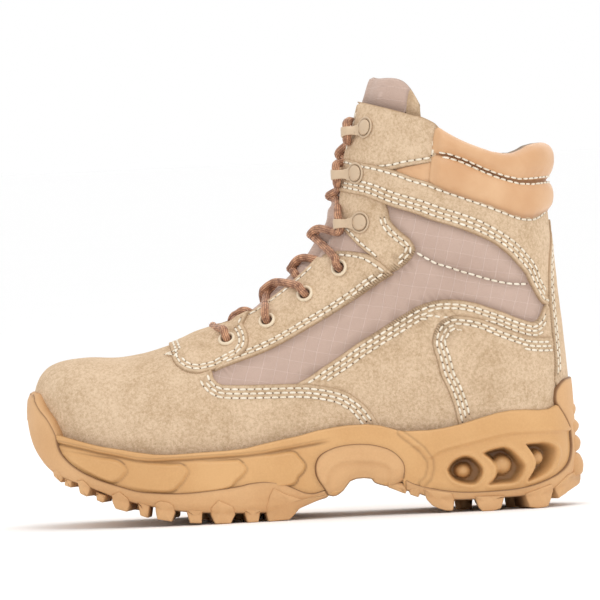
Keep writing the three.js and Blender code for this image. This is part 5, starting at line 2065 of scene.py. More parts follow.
@dataclass
class Sole:
    """The moulded midsole and the two rubber outsoles with the bridge between them."""

    wall: SoleWall
    heel_wall: HeelWall
    stitching: Stitching
    fine: float
    bead: float = 0.9  # how far the rim's bead stands out
    groove: float = 1.1
    scale: float = 2.0  # how far each forefoot lobe's tip stands out
    window: float = 9.5
    skin: float = 1.5  # how far the rubber stands out of the midsole
    ledge: float = 9.0  # how far the rim reaches in under the upper
    toe_hidden: float = 15.0  # the bumper covers the midsole in front of this x
    bar_half: float = 12.0

    def build(self, shop: Workshop, looks: Finishes) -> None:
        """Makes the four pieces.

        Args:
            shop: what makes pieces.
            looks: the materials.
        """
        shop.piece("midsole_body", self.midsole(), [looks.foam], ["midsole"])
        shop.piece("forefoot_tread", self.forefoot(), [looks.rubber], ["outsole_forefoot"])
        shop.piece("heel_tread", self.heel(), [looks.rubber], ["outsole_heel"])
        shop.piece("arch_shank_cover", self.arch(), [looks.rubber], ["arch_bridge"])

    def relief(self, x: np.ndarray, z: np.ndarray) -> tuple[np.ndarray, np.ndarray]:
        """How far the midsole's side stands out at places in side view, and how shaded they are.

        Args:
            x: how far back the places are.
            z: how high they are.

        Returns:
            The two, in the arrays' own form.
        """
        flat = np.stack([x.reshape(-1), z.reshape(-1)], 1)
        rim = read(RIM, flat[:, 0])
        below = rim - flat[:, 1]
        lift = self.bead * smooth(below, -0.1, 0.9)
        fore = 1 - smooth(flat[:, 0], 158, 170)
        low = read(RIM_GROOVE, flat[:, 0])
        over = flat[:, 1] - low
        lift -= fore * (0.35 * smooth(1.9 - over, -0.3, 0.3) + self.groove * bell(over, 0.75)
                        + 0.7 * smooth(-over, -0.4, 0.6))
        # Painted shade in the rim groove and under its upper edge.
        shade = fore * np.maximum(0.5 * bell(over, 0.8), 0.25 * bell(over - 1.9, 0.4))
        for lobe in LOBES:
            loop = closed_line(lobe, 1.0)
            depth = depth_inside(flat, loop)
            tip = loop[:, 0].max()
            grow = smooth(flat[:, 0], tip - 42, tip - 3)
            block = grow * (self.scale * smooth(depth, -0.3, 1.5) + 0.25 * bell(depth - 1.7, 0.6))
            lift = np.where(depth > -0.3, np.maximum(lift - 0.25, lift * (1 - grow) + block), lift)
            # Painted shadow just outside each lobe's raised edge, less on the lobe's top.
            shade = np.maximum(shade * np.where(depth > 1.2, 0.4, 1), 0.62 * grow * bell(depth + 0.4, 0.5))
        rear = smooth(flat[:, 0], 206, 212)
        band = read(HEEL_BAND, flat[:, 0])
        under = rear * smooth(band - flat[:, 1], -0.5, 0.7) * smooth(flat[:, 0], 219, 224)
        lift += 0.5 * rear * bell(flat[:, 1] - band - 1.1, 0.9) - 1.0 * under
        flange = line_distance(flat, np.array(ARCH_FLANGE, float))
        lift += 0.8 * bell(flange, 1.1) * (flat[:, 0] < 224)
        # Painted shade beside the arch flange's ridge.
        shade = np.maximum(shade, 0.3 * bell(flange - 1.8, 0.7) * (flat[:, 0] < 226) * (flat[:, 0] > 204))
        between = smooth(flat[:, 0], 205, 207.5) * (1 - smooth(flange, 2, 6)) * (flat[:, 0] < 216)
        lift -= 0.4 * between
        lift, shade = self._windows(flat, lift, shade)
        bridge = depth_inside(flat, closed_line(ARCH_OUTER, 1.5))
        lift -= 3.0 * smooth(bridge, 1.0, 4.0)
        toe = 1 - smooth(flat[:, 0], self.toe_hidden - 2, self.toe_hidden + 1)
        return (lift - 1.6 * toe).reshape(x.shape), shade.reshape(x.shape)

    def _windows(self, flat: Points, lift: np.ndarray, shade: np.ndarray) -> tuple[np.ndarray, np.ndarray]:
        """Sinks the heel's windows into the relief, with a cushion in each.

        Args:
            flat: rows of x and z.
            lift: how far each place stands out so far.
            shade: its shading so far.

        Returns:
            The relief and the shading with the windows in them.
        """
        for window, pod in zip(WINDOWS, PODS):
            depth = depth_inside(flat, closed_line(window, 0.8))
            lip = 0.7 * bell(depth + 1.0, 1.0)
            sunk = smooth(depth, -0.2, 2.1)
            dx, dz = (flat[:, 0] - pod.x) / pod.long, (flat[:, 1] - pod.z) / pod.tall
            ball = np.sqrt(np.clip(1.0 - dx * dx - dz * dz, 0, 1))
            floor = -self.window + (self.window - pod.depth) * ball ** 0.8
            hollow = sunk * np.maximum(floor, -self.window)
            lift = np.where(depth > -0.2, hollow + (1 - sunk) * lift, lift + lip)
            # Painted shade in each window: darker deeper in and towards its top, lighter on the cushion.
            high = smooth(flat[:, 1] - pod.z, -1, 9)
            dark = sunk * (0.55 + 0.4 * high) * (1 - 0.8 * ball)
            shade = np.where(depth > -0.2, np.maximum(shade * (1 - sunk), dark), shade)
        return lift, shade

    def midsole(self) -> Shape:
        """The side all round, a ledge under the upper and a flat underside.

        Returns:
            The midsole.
        """
        shape = Shape()
        per_side = int(440 / max(1, self.fine))
        share = np.linspace(0, 1, per_side)
        w = np.r_[self.wall.first * share[::-1], self.wall.last * share[1:]]
        x = self.wall.x(w)
        rim = read(RIM, x)
        low = self.wall.base(w) + 0.4
        rows = int(62 / max(1, self.fine))
        up = np.linspace(0, 1, rows)[:, None]
        z = low + (rim - low) * up
        xs = np.broadcast_to(x, z.shape)
        lift, shade = self.relief(xs, z)
        wall = self.wall.point(np.broadcast_to(w, z.shape), z, lift)
        shoulder = self.wall.point(w, rim + 0.15, 0.35)
        steps = ((1.4, 0.0), (3.2, 0.7), (self.ledge, 2.2))
        inner = [self.wall.point(w, rim - drop, -back) for back, drop in steps]
        points = np.concatenate([wall, shoulder[None], np.array(inner)])
        # Painted shade on the ledge that tucks under the upper.
        shades = np.concatenate([shade, np.zeros((1, len(w))), np.full((3, len(w)), 0.7)])
        numbers = shape.grid(points, shades, flip=True)
        for row, flip in ((numbers[0], True), (numbers[-1], False)):
            shape.strip(row[:per_side], row[::-1][:per_side], flip=flip)
        shape.strip(numbers[:, 0], numbers[:, -1])
        return shape

    def _tread(self, shape: Shape, rows: Points, lugs: Sequence[Lug]) -> None:
        """The underside between the two feet of the wall, with its lugs.

        Args:
            shape: what is added to.
            rows: where it runs, in rows of the sole's table.
            lugs: the lugs at its edges, the same on both sides.
        """
        x = SOLE.at("x", rows)
        ends = []
        for side in Side:
            w = self.wall.station(x, side)
            ends.append(self.wall.point(w, self.wall.base(w) - 0.1, 0.5))
        self._slab(shape, ends, 26, 2.0, 0.25)
        for side in Side:
            for lug in lugs:
                self._lug(shape, lug, side)
        for lug in MIDDLE_LUGS:
            if x[0] < lug.x < x[-1]:
                self._middle_lug(shape, lug)

    @staticmethod
    def _slab(shape: Shape, ends: list[Points], columns: int, thick: float, texture: float = 0.0) -> None:
        """A thick sheet between two lines, with shallow texture underneath.

        Args:
            shape: what is added to.
            ends: the two lines.
            columns: how many points there are between the lines.
            thick: its thickness.
            texture: the texture's depth.
        """
        across = np.linspace(0, 1, columns)[:, None]
        under = ends[0][None] * (1 - across)[..., None] + ends[1][None] * across[..., None]
        groove = texture * np.cos(under[..., 0] * 1.4) * np.cos(under[..., 1] * 1.1)
        under[..., 2] += groove * np.sin(np.pi * across)
        over = under + np.array([0, 0, thick])
        # Painted shade on the tread's underside and on its hidden top face.
        shape.seal(shape.grid(under, 0.25), shape.grid(over, 0.5, flip=True))

    def _lug(self, shape: Shape, lug: Lug, side: Side) -> None:
        """One lug: a bevelled block whose face lies on the wall.

        Args:
            shape: what is added to.
            lug: the lug.
            side: the side of the boot.
        """
        loop = np.asarray(lug.outline, float)
        loop = even(np.vstack([loop, loop[:1]]), 1.1)[:-1]
        along = unit(np.roll(loop, -1, axis=0) - np.roll(loop, 1, axis=0))
        inward = np.stack([-along[:, 1], along[:, 0]], 1) * np.sign(signed_area(loop))
        middle = loop.mean(axis=0)
        top = loop[:, 1].max()
        rings = []
        proud = self.skin + (1.3 if lug.raised else 0.5)
        crest = np.array([middle[0] - 1.2, middle[1] + 0.6])
        for inset, lift in ((0.0, -lug.depth), (0.0, proud - 1.1), (0.35, proud - 0.35), (0.95, proud)):
            rings.append((loop + inward * inset, lift))
        if lug.raised:
            rings.append((crest + (loop - crest) * 0.42, proud + 0.7))
        points = []
        for ring, lift in rings:
            z = np.maximum(ring[:, 1], 0)
            w = self.wall.station(np.clip(ring[:, 0], 0.3, 302.3), side)
            below = smooth(self.wall.base(w) - z, 0, 6)
            out = lift + (1.5 * below if lift > 0 else 0) - 0.05 * np.maximum(0, top - z)
            at = self.wall.point(w, z, out)
            if lift < 0:
                at[:, 1] = np.where(side.value * at[:, 1] < 1, side.value * 1.0, at[:, 1])
            points.append(at)
        # Painted shade at the lug's root, where it meets the wall.
        shades = np.repeat(np.array([0.5, 0.3, 0.0, 0.0, 0.0][:len(points)])[:, None], len(loop), 1)
        shape.grid(np.stack(points), shades, ring=True, capped=True)

    def _middle_lug(self, shape: Shape, lug: MiddleLug) -> None:
        """A six-cornered lug with bevelled edges.

        Args:
            shape: what is added to.
            lug: the lug.
        """
        unit_corner = np.array([(-1, -0.5), (0, -1), (1, -0.5), (1, 0.5), (0, 1), (-1, 0.5)])
        corner = unit_corner * (lug.long, lug.wide)
        base = float(SOLE.follow(lug.x, "base")) + 1
        tread = float(SOLE.follow(lug.x, "tread"))
        rings = []
        for inset, z in ((-0.8, base), (0, tread + 0.9), (0.8, tread)):
            flat = corner * (1 - inset / np.array([lug.long, lug.wide]))
            slope = (SOLE.follow(lug.x + flat[:, 0], "tread") - tread) * (z < base)
            rings.append(np.stack([lug.x + flat[:, 0], flat[:, 1] + 1, np.maximum(z + slope, 0)], 1))
        # A slight, even painted shade over the lug.
        shape.grid(np.stack(rings), 0.1, ring=True, capped=True)

    def _foot(self, chart: SoleWall, start: float, end: float, side: Side) -> Points:
        """Chart places along the wall's foot between two x.

        Args:
            chart: the wall, with its chart.
            start: the first x.
            end: the last x.
            side: the side of the boot.

        Returns:
            The chart places.
        """
        x = np.linspace(start, end, int(abs(end - start) / 1.5) + 2)
        places = chart.chart(np.stack([x, np.zeros_like(x)], 1), side)
        places[:, 1] = chart.base(places[:, 0]) - 0.2
        return places

    def forefoot(self) -> Shape:
        """The forefoot rubber, with the bumper over the toe.

        Returns:
            The rubber.
        """
        shape = Shape()
        maker = self._maker(self.wall)
        outline = []
        for side in Side:
            top, split = maker.line(BUMPER_TOP, side), maker.line(FORE_SPLIT, side)
            top[0, 0] = 0
            foot = self._foot(self.wall, 165.5, 0, side)
            outline.append([top, split, maker.straight([split[-1], *foot])])
        medial = [e[::-1] for e in reversed(outline[1])]
        maker.lay(shape, Panel((PLAIN,) * 6, 0.0, self.skin, plump=0), edges=outline[0] + medial)
        self._lip(shape, np.vstack([outline[0][0][::-1], outline[1][0][1:]]))
        self._tread(shape, np.linspace(0, 10.83, 150), FORE_LUGS)
        return shape

    def _lip(self, shape: Shape, line: Points, reach: float = 6.0, thick: float = 1.6) -> None:
        """The rubber's upper edge, which turns in against the leather.

        Args:
            shape: what is added to.
            line: the rubber's edge, as places on the wall.
            reach: how far in it turns.
            thick: its thickness.
        """
        w, z = line.T
        section = ((self.skin - 0.5, -0.3), (self.skin - 0.9, 0.25), (0, 0.4), (-reach, -0.3),
                   (-reach, -0.3 - thick), (0, -thick), (self.skin - 0.5, -thick))
        rows = np.stack([self.wall.point(w, z + up, out) for out, up in section], 1)
        # A slight, even painted shade over the lip.
        shape.grid(rows, 0.1, ring=True, capped=True)

    def heel(self) -> Shape:
        """The heel rubber, with the tab and the climbing bars up its back.

        Returns:
            The rubber.
        """
        shape = Shape()
        maker = self._maker(self.heel_wall)
        outline = []
        for side in Side:
            split = maker.line(HEEL_SPLIT, side)
            end = maker.straight([split[-1], (0, 71.2)])
            foot = self._foot(self.heel_wall, 302.6, 207.5, side)
            foot[0, 0] = 0
            closing = maker.straight([foot[-1], split[0]])
            whole = [split, end, foot, closing]
            outline.append(whole if side is Side.LATERAL else whole[2:] + whole[:2])
        split, end, foot, closing = outline[0]
        medial = [edge[::-1] for edge in reversed(outline[1])]
        loop = [closing, split, end, *medial, foot]
        maker.lay(shape, Panel((PLAIN,) * len(loop), 0.0, self.skin, plump=0), edges=loop)
        self._tread(shape, np.linspace(12.18, 20, 110), HEEL_LUGS)
        for bar in CLIMBING_BARS:
            self._bar(shape, bar)
        return shape

    def _bar(self, shape: Shape, outline: Loop) -> None:
        """One climbing bar, rounded off towards its two ends.

        Args:
            shape: what is added to.
            outline: the bar in side view.
        """
        loop = closed_line(outline, 0.8)
        middle = np.array([loop[:, 0].min(), loop[:, 1].mean()])
        sections = []
        for y in np.linspace(-1, 1, 15):
            size = (1 - abs(y) ** 5) ** 0.4 * 0.92 + 0.08
            flat = middle + (loop - middle) * (size, 0.5 + 0.5 * size)
            bend = 2.2 * y * y
            across = np.full(len(flat), y * self.bar_half)
            sections.append(np.stack([flat[:, 0] - bend, across, flat[:, 1]], 1))
        # A very slight, even painted shade over the bar.
        shape.grid(np.stack(sections), 0.05, ring=True, capped=True)

    def arch(self) -> Shape:
        """The horseshoe bridge, ridged round its inside.

        Returns:
            The bridge.
        """
        shape = Shape()
        maker = self._maker(self.wall)
        inner = smooth_line(ARCH_INNER, 1.0)

        def ridge(at: Points) -> np.ndarray:
            """The hollow inside the ridge."""
            depth = depth_inside(at[:, [0, 2]], inner)
            return 0.5 * bell(depth, 0.9) - 1.5 * smooth(depth, -0.2, 3.5)

        edges = (Edge(ARCH_OUTER), Edge(ARCH_UNDER[::-1]))
        panel = Panel(edges, 0.25, self.skin + 0.35, plump=0, relief=ridge)
        for side in Side:
            maker.lay(shape, panel, side)
        x = np.linspace(165, 206.6, 60)
        z = read(ARCH_UNDER, x)
        ends = [self.wall.point(self.wall.station(x, side), z, 0.4) for side in Side]
        self._slab(shape, ends, 22, 2.5)
        return shape

    def _maker(self, chart: SoleWall) -> PanelMaker:
        """A panel maker with a finer mesh inside its outlines.

        Args:
            chart: the wall, with its chart.

        Returns:
            The panel maker.
        """
        maker = PanelMaker(chart, self.stitching, self.fine)
        maker.inner_step = 1.3 * self.fine
        return maker


# ---------------------------------------------------------------- collar, tongue and insole


COLLAR_TOP = (
    (226, 218.6), (235, 213), (240, 209.6), (245, 206.6), (250, 204), (257, 201), (263, 198.6), (270, 197),
    (275, 197), (280, 198.7), (284, 200.8), (288, 201.7), (292, 202), (300, 202),
)
COLLAR_CREASE = (
    (226, 198.4), (234.5, 198.3), (240, 197.4), (247, 194.6), (252, 191.8), (258, 188.4), (264, 185.4),
    (270, 183), (276, 181.1), (283, 180.5), (290, 180.8), (300, 181),
)
COLLAR_FOOT = (
    (222, 184), (229, 182), (240, 177), (250, 173), (260, 169), (270, 164.5), (278, 161.2), (284, 160.6),
    (290, 163), (300, 166),
)
# The collar's section: how far up (0 its foot, 1 the crease, 2 its top) and how far out of the last.
COLLAR_SECTION = (
    (-0.08, 0.2), (0.03, 1.6), (0.2, 4.2), (0.48, 5.3), (0.76, 4.7), (0.93, 3.0), (1.0, 1.7), (1.06, 3.0),
    (1.2, 5.4), (1.42, 6.9), (1.66, 6.7), (1.86, 4.9), (1.97, 2.1), (2.0, -1.0), (1.96, -3.9), (1.82, -6.0),
    (1.5, -7.0), (1.0, -6.4), (0.5, -6.0), (0.1, -5.4), (-0.08, -4.0), (-0.14, -1.8),
)


@dataclass
class Collar:
    """The padded leather collar: two rolls with a stitched crease between them."""

    heel: HeelChart
    stitching: Stitching
    fine: float
    front: tuple[float, float] = (230.5, 199)  # where its front seam crosses the crease, in side view
    around: float = 250  # its length round the back
    taper: float = 5.5  # how far behind its front seam it reaches full thickness
    step: float = 1.5  # between its stations
    pucker: float = 0.4  # how deep the gathers at the seams are
    pucker_run: float = 7.2  # from one gather to the next
    fold: float = 0.35  # how high the soft folds of the upper roll are
    pinch: float = 0.22  # the share of its thickness that is left at the front seam
    lined_from: float = 0.62  # share of the way round the section where the lining takes over
    rows: tuple[float, ...] = (0.925, 1.075)  # the stitch rows' heights in the section
    search: tuple[float, float] = (14.5, 20.8)  # the last's rows between which the collar lies
    halvings: int = 34

    def build(self, shop: Workshop, looks: Finishes) -> None:
        """Makes the pad and its stitches.

        Args:
            shop: what makes pieces.
            looks: the materials.
        """
        shape = self.pad()
        pad = shop.piece("collar_roll", shape, [looks.leather, looks.lining], ["collar_pad"])

    def _row(self, line: Loop, v: np.ndarray) -> np.ndarray:
        """The last's rows at which stations meet a line given in side view.

        Args:
            line: the line's points, as x and z.
            v: places round the back, from its middle.

        Returns:
            A row number for each station.
        """
        low, high = (np.full(v.shape, row) for row in self.search)
        x_line, z_line = np.array(line).T
        for _ in range(self.halvings):
            middle = (low + high) / 2
            at = self.heel.point(middle, v)
            above = at[..., 2] > np.interp(at[..., 0], x_line, z_line)
            high = np.where(above, middle, high)
            low = np.where(above, low, middle)
        return low

    def pad(self) -> Shape:
        """The closed pad, from one front seam round the back to the other.

        Returns:
            The pad.
        """
        reach = abs(self.heel.chart([self.front], Side.LATERAL)[0, 1])
        count = int(self.around / self.step / max(1, self.fine * 0.7))
        v = np.linspace(-reach, reach, count)
        feet, crease, top = (self._row(line, v) for line in (COLLAR_FOOT, COLLAR_CREASE, COLLAR_TOP))
        section = closed_line(COLLAR_SECTION, 0.22)
        up, out = section[:, 0], section[:, 1]
        u = np.where(up < 1, feet[:, None] + (crease - feet)[:, None] * up,
                     crease[:, None] + (top - crease)[:, None] * (up - 1))
        vv = np.broadcast_to(v[:, None], u.shape)
        path = self.heel.point(crease, v)
        run = run_along(path)
        ends = smooth(np.minimum(run, run[-1] - run), 0, self.taper)[:, None]
        near = bell(up - 1, 0.2) + 0.4 * bell(up - 0.05, 0.15)
        pull = self.pucker * near * (0.5 + 0.5 * np.cos(run[:, None] * 2 * math.pi / self.pucker_run
                                                        + 1.5 * np.sin(run[:, None] * 0.21)))
        fold = self.fold * np.sin(run[:, None] * 0.16 + up * 2.2) * bell(up - 1.45, 0.5)
        outer = smooth(out, -2, 1)
        lift = out * (self.pinch + (1 - self.pinch) * ends) - (pull - fold) * outer * ends + 0.3
        points = self.heel.point(u, vv, lift)
        # Painted shade in the crease between the rolls and along the collar's foot.
        shade = 0.75 * bell(up - 1, 0.045) + 0.5 * bell(up - 0.0, 0.07)
        shade = np.broadcast_to(shade, u.shape)
        shape = Shape()
        split = int(len(section) * self.lined_from)
        numbers = shape.add(points, [], shade.reshape(-1)).reshape(u.shape)
        shape.link(quads(numbers[:, :split + 1]), 0)
        lined = np.concatenate([numbers[:, split:], numbers[:, :1]], axis=1)
        shape.link(quads(lined), 1)
        shape.cap(numbers[0])
        shape.cap(numbers[-1])
        self._sew(points, up, out, vv, u)
        return shape

    def _sew(self, points: Points, up: np.ndarray, out: np.ndarray, v: np.ndarray, u: np.ndarray) -> None:
        """The stitch rows beside the crease.

        Args:
            points: the pad's points, in stations and columns.
            up: how far up its section each column is.
            out: how far each column stands out.
            v: the station of each point.
            u: the last's row at each point.
        """
        for row in self.rows:
            column = int(np.argmin(np.abs(up - row) + 9 * (out < 0)))
            normal = self.heel.normal(u[:, column], v[:, column])
            self.stitching.sew(points[3:-3, column] + normal[3:-3] * 0.25, normal[3:-3])


TONGUE = Table("u half crown", [
    (6.6, 20, 0), (7.5, 23, 2), (9, 25, 3), (11, 27, 4.5), (13, 29, 6.0), (15, 31, 5.6), (17, 35, 3.2),
    (18.2, 37, 2.4), (19, 39.3, 2.6), (19.6, 38.4, 2.6), (20.4, 37.6, 2.4),
])


@dataclass
class Tongue:
    """The padded nylon tongue, bound with suede down its edges."""

    last: Last
    stitching: Stitching
    fine: float
    clear: float = 4.1  # how far its face lies below the upper's face
    thick: float = 4.4
    bottom: float = 6.6  # the last's row where it starts
    top: float = 20.0  # and the one where it ends
    binding: float = 0.932  # share of its half width where the suede binding starts
    fall: float = 2.3  # how steeply its swelling drops towards the throat's edges
    fold_row: float = 19.0  # the last's row with the fold under its top edge
    quilt: float = 0.35  # how deep its soft waves are

    def build(self, shop: Workshop, looks: Finishes) -> None:
        """Makes the tongue.

        Args:
            shop: what makes pieces.
            looks: the materials.
        """
        finishes = [looks.tongue, looks.lining, looks.suede]
        tongue = shop.piece("tongue_pad", self.pad(), finishes, ["tongue"])

    def place(self, u: Any, across: Any, lift: Any) -> Points:
        """Points of the tongue by row, place across and height over its face.

        Args:
            u: row numbers.
            across: places across it, from -1 to 1.
            lift: how far over its face.

        Returns:
            The points.
        """
        u, across, lift = np.broadcast_arrays(*(np.asarray(v, float) for v in (u, across, lift)))
        y = np.abs(across) * TONGUE.follow(u, "half", by="u")
        half = np.where(across < 0, LAST.at("lat", u), LAST.at("med", u)) * self.last.ball_half
        s = np.sign(across) * np.arcsin(np.minimum(1, (y / half)) ** (LAST.at("round_t", u) / 2)) * 2 / np.pi
        opening = THROAT.follow(np.maximum(u, 7), "half", by="u")
        swell = TONGUE.follow(u, "crown", by="u") * np.exp(-self.fall * (y / np.maximum(opening, 6)) ** 2)
        swell = swell + 1.2 * smooth(u, 19, 19.8) * (1 - 0.4 * np.abs(across))
        return self.last.point(u, s, swell - self.clear + lift)

    def middle(self, u: float, lift: float) -> Points:
        """A point over the tongue's middle."""
        return self.place(u, 0.0, lift)

    def pad(self) -> Shape:
        """The closed pad with its rounded edges.

        Returns:
            The pad.
        """
        columns = int(48 / max(1, self.fine * 0.8))
        across = np.sin(np.linspace(-1, 1, columns) * math.pi / 2)
        limit = self.top + 0.5 * across**2 - 0.85 * np.abs(across) ** 11
        rows = int(120 / max(1, self.fine * 0.8))
        grow = np.linspace(0, 1, rows)[:, None]
        u = self.bottom + (limit - self.bottom) * grow
        soft = np.sqrt(np.clip(1 - np.abs(across) ** 10, 0, 1))
        end = np.sqrt(np.clip(1 - smooth(grow, 0.985, 1.0) ** 2, 0, 1))
        quilt = self.quilt * np.sin(u * 3.1 + across * 2) * (1 - across**2)
        body = soft * end
        wide = np.broadcast_to(across, u.shape)
        # Painted shade along the suede binding's seams and in the fold under the top edge; the underside gets
        # a little painted shade.
        seam = 0.7 * bell(np.abs(wide) - self.binding, 0.018)
        shade = np.maximum(seam, 0.6 * bell(u - self.fold_row, 0.35))
        outer = self.place(u, wide, -self.thick / 2 + body * (self.thick / 2 + quilt))
        inner = self.place(u, wide, -self.thick / 2 - body * self.thick / 2)
        shape = Shape()
        a = shape.add(outer, [], shade.reshape(-1)).reshape(u.shape)
        b = shape.add(inner, [], 0.2).reshape(u.shape)
        rim = int(np.searchsorted(across, -self.binding))
        spans = ((0, rim + 1, 2), (rim, columns - rim, 0), (columns - rim - 1, columns, 2))
        for first, last, finish in spans:
            shape.link(quads(a[:, first:last]), finish)
            shape.link(quads(b[:, first:last], flip=True), 1 if finish == 0 else 2)
        for end in (0, -1):
            shape.strip(a[end], b[end])
            shape.strip(a[:, end], b[:, end], 2)
        for side in (-1, 1):
            t = np.linspace(18.4, 19.4, 40)
            lift = np.full(t.shape, 0.15)
            line = self.place(t, side * (self.binding - 0.012), lift)
            above = self.place(t, side * (self.binding - 0.012), lift + 1)
            self.stitching.sew(line, above - line)
        return shape


# ---------------------------------------------------------------- eyelets, hooks and lace


@dataclass(frozen=True)
class Fastening:
    """Where an eyelet or hook sits in side view, and how thick the panels under it are."""

    x: float
    z: float
    lift: float
    hook: bool = False


FASTENINGS = (
    Fastening(112.8, 100.2, 1.45), Fastening(135.6, 109.6, 1.4), Fastening(157.4, 123.6, 1.4),
    Fastening(177.2, 137.4, 1.6), Fastening(190, 162.3, 1.4, True), Fastening(190, 189.6, 2.75, True),
    Fastening(195.6, 214.5, 1.6, True),
)


@dataclass(frozen=True)
class Stand:
    """A place on the upper with its directions: outward, forward to the throat, and up along it."""

    point: Points
    out: Points
    front: Points
    along: Points

    def at(self, forward: Any, out: Any, along: Any = 0.0) -> Points:
        """A point given by steps along the three directions.

        Args:
            forward: steps towards the throat.
            out: steps off the upper.
            along: steps up along the throat.

        Returns:
            The point.
        """
        forward, out, along = np.broadcast_arrays(*(np.asarray(v, float) for v in (forward, out, along)))
        return (self.point + forward[..., None] * self.front + out[..., None] * self.out
                + along[..., None] * self.along)


def stand(last: Last, fastening: Fastening, side: Side) -> Stand:
    """The stand of a fastening on a side.

    Args:
        last: the form that the upper is pulled over.
        fastening: the eyelet or hook.
        side: the side of the boot.

    Returns:
        The stand.
    """
    u, s = last.chart([(fastening.x, fastening.z)], side)[0]
    out = last.normal(u, s)
    get = {k: float(LAST.at(k, u)) for k in ("tx", "tz", "bx", "bz")}
    lace_line = np.array([get["tx"] - get["bx"], 0, get["tz"] - get["bz"]])
    front = np.array([-1.0, 0, 0]) if fastening.hook else unit(lace_line)
    front = unit(front - out * (front @ out))
    along = np.cross(out, front)
    along = along * (1 if along[2] > 0 else -1)
    return Stand(last.point(u, s), out, front, along)


@dataclass
class Hardware:
    """The eyelets and the speed hooks."""

    last: Last
    ring: float = 5.0
    hole: float = 2.9
    turns: int = 36

    def build(self, shop: Workshop, looks: Finishes) -> None:
        """Makes each one as a piece.

        Args:
            shop: what makes pieces.
            looks: the materials.
        """
        for side in Side:
            name = side.name.lower()
            holes = [f for f in FASTENINGS if not f.hook]
            hooks = [f for f in FASTENINGS if f.hook]
            for i, place in enumerate(holes, 1):
                shop.piece(f"eyelet_ring_{name}_{i}", self.eyelet(place, side), [looks.cream],
                           [f"eyelet_{name}_{i}"])
            for i, place in enumerate(hooks, 1):
                shop.piece(f"speed_hook_{name}_{i}", self.speed_hook(place, side), [looks.enamel],
                           [f"hook_{name}_{i}"])

    def _turned(self, shape: Shape, foot: Stand, profile: Loop, shades: Any = 0.0,
                closed: bool = False) -> None:
        """A turned piece about the outward direction, from radius and height pairs.

        Args:
            shape: what is added to.
            foot: where it stands.
            profile: radius and height pairs.
            shades: the shading of each pair.
            closed: whether the profile closes on itself.
        """
        r, h = np.asarray(profile, float).T
        turn = whole_turn(self.turns)
        points = foot.at(r[:, None] * np.cos(turn), h[:, None] + 0 * turn, r[:, None] * np.sin(turn))
        marks = np.broadcast_to(np.asarray(shades, float).reshape(-1, 1), points.shape[:2])
        shape.grid(points, marks, ring=True, loop=closed, capped=not closed)

    def eyelet(self, place: Fastening, side: Side) -> Shape:
        """A rolled eyelet with its barrel through the upper.

        Args:
            place: where the eyelet or hook sits.
            side: the side of the boot.

        Returns:
            The eyelet.
        """
        foot = stand(self.last, place, side)
        low, r, hole = place.lift, self.ring, self.hole
        middle, roll = (r + hole) / 2, (r - hole) / 2
        arc = np.linspace(0, math.pi, 12)
        profile = [(middle + roll * math.cos(t), low - 0.15 + 1.35 * math.sin(t)) for t in arc]
        profile += [(hole, low - 1), (hole + 0.1, -2.9), (hole + 1.5, -3.3), (hole + 1.5, -2.8),
                    (hole + 0.5, -2.6), (hole + 0.45, low - 0.7)]
        shape = Shape()
        # Painted shade inside the barrel and on the flange under the upper.
        self._turned(shape, foot, profile, [0.25, *[0] * 10, 0.3, 0.6, 0.9, 0.5, 0.5, 0.8, 0.8], closed=True)
        return shape

    def speed_hook(self, place: Fastening, side: Side) -> Shape:
        """A riveted plate whose arm rises forward over the lace and curls down round it.

        Args:
            place: where the eyelet or hook sits.
            side: the side of the boot.

        Returns:
            The hook.
        """
        foot = stand(self.last, place, side)
        low = place.lift - 0.1
        shape = Shape()
        plate = [(0.05, low), (6.0, low), (6.15, low + 0.4), (5.9, low + 0.85), (5.3, low + 1.0),
                 (4.95, low + 0.5), (0.05, low + 0.5)]
        # Painted shade in the groove round the rivet and along the plate's bottom edge.
        self._turned(shape, foot, plate, [0, 0.3, 0.2, 0, 0, 0.95, 0.95])
        rim = [(0.05, low + 0.3), (4.1, low + 0.3), (4.4, low + 0.7)]
        arc = np.linspace(0, math.pi / 2.03, 9)
        dome = [(4.4 * math.cos(t), low + 0.9 + 1.35 * math.sin(t)) for t in arc]
        # Painted shade at the dome's foot.
        self._turned(shape, foot, [*rim, *dome], [0.6, 0.6, 0.2, *[0] * 9])
        self._arm(shape, foot, low)
        return shape

    @staticmethod
    def _arm(shape: Shape, foot: Stand, low: float) -> None:
        """The strip of steel, from under the rivet's head to its curled end.

        Args:
            shape: what is added to.
            foot: where it stands.
            low: how far off the upper the plate lies.
        """
        line = [(4.6, 0.5), (6.2, 0.75), (7.4, 1.6), (8.9, 3.4), (10.4, 4.9), (12.3, 5.4), (13.9, 5.0),
                (14.8, 3.9), (14.9, 2.4), (14.1, 1.1), (12.7, 0.5)]
        path = smooth_line([(x, 0, z + low) for x, z in line], 0.4)[:, [0, 2]]
        ahead = unit(np.gradient(path, axis=0))
        side = np.stack([-ahead[:, 1], ahead[:, 0]], 1)
        half = np.interp(path[:, 0], [4.6, 6.2, 8, 11, 14], [3.9, 3.1, 2.45, 2.55, 2.9])
        thick = 0.5
        turn = whole_turn(16)
        round_x = np.sign(np.cos(turn)) * np.abs(np.cos(turn)) ** 0.45
        round_y = np.sign(np.sin(turn)) * np.abs(np.sin(turn)) ** 0.6
        forward = path[:, :1] + side[:, :1] * round_y * thick
        out = path[:, 1:] + side[:, 1:] * round_y * thick
        shape.grid(foot.at(forward, out, half[:, None] * round_x), ring=True, capped=True)


# The rows of the last at which the lace crosses itself, from the lowest eyelets up.
CROSSINGS = (7.65, 8.45, 9.25, 10.6, 14.4, 17.0)


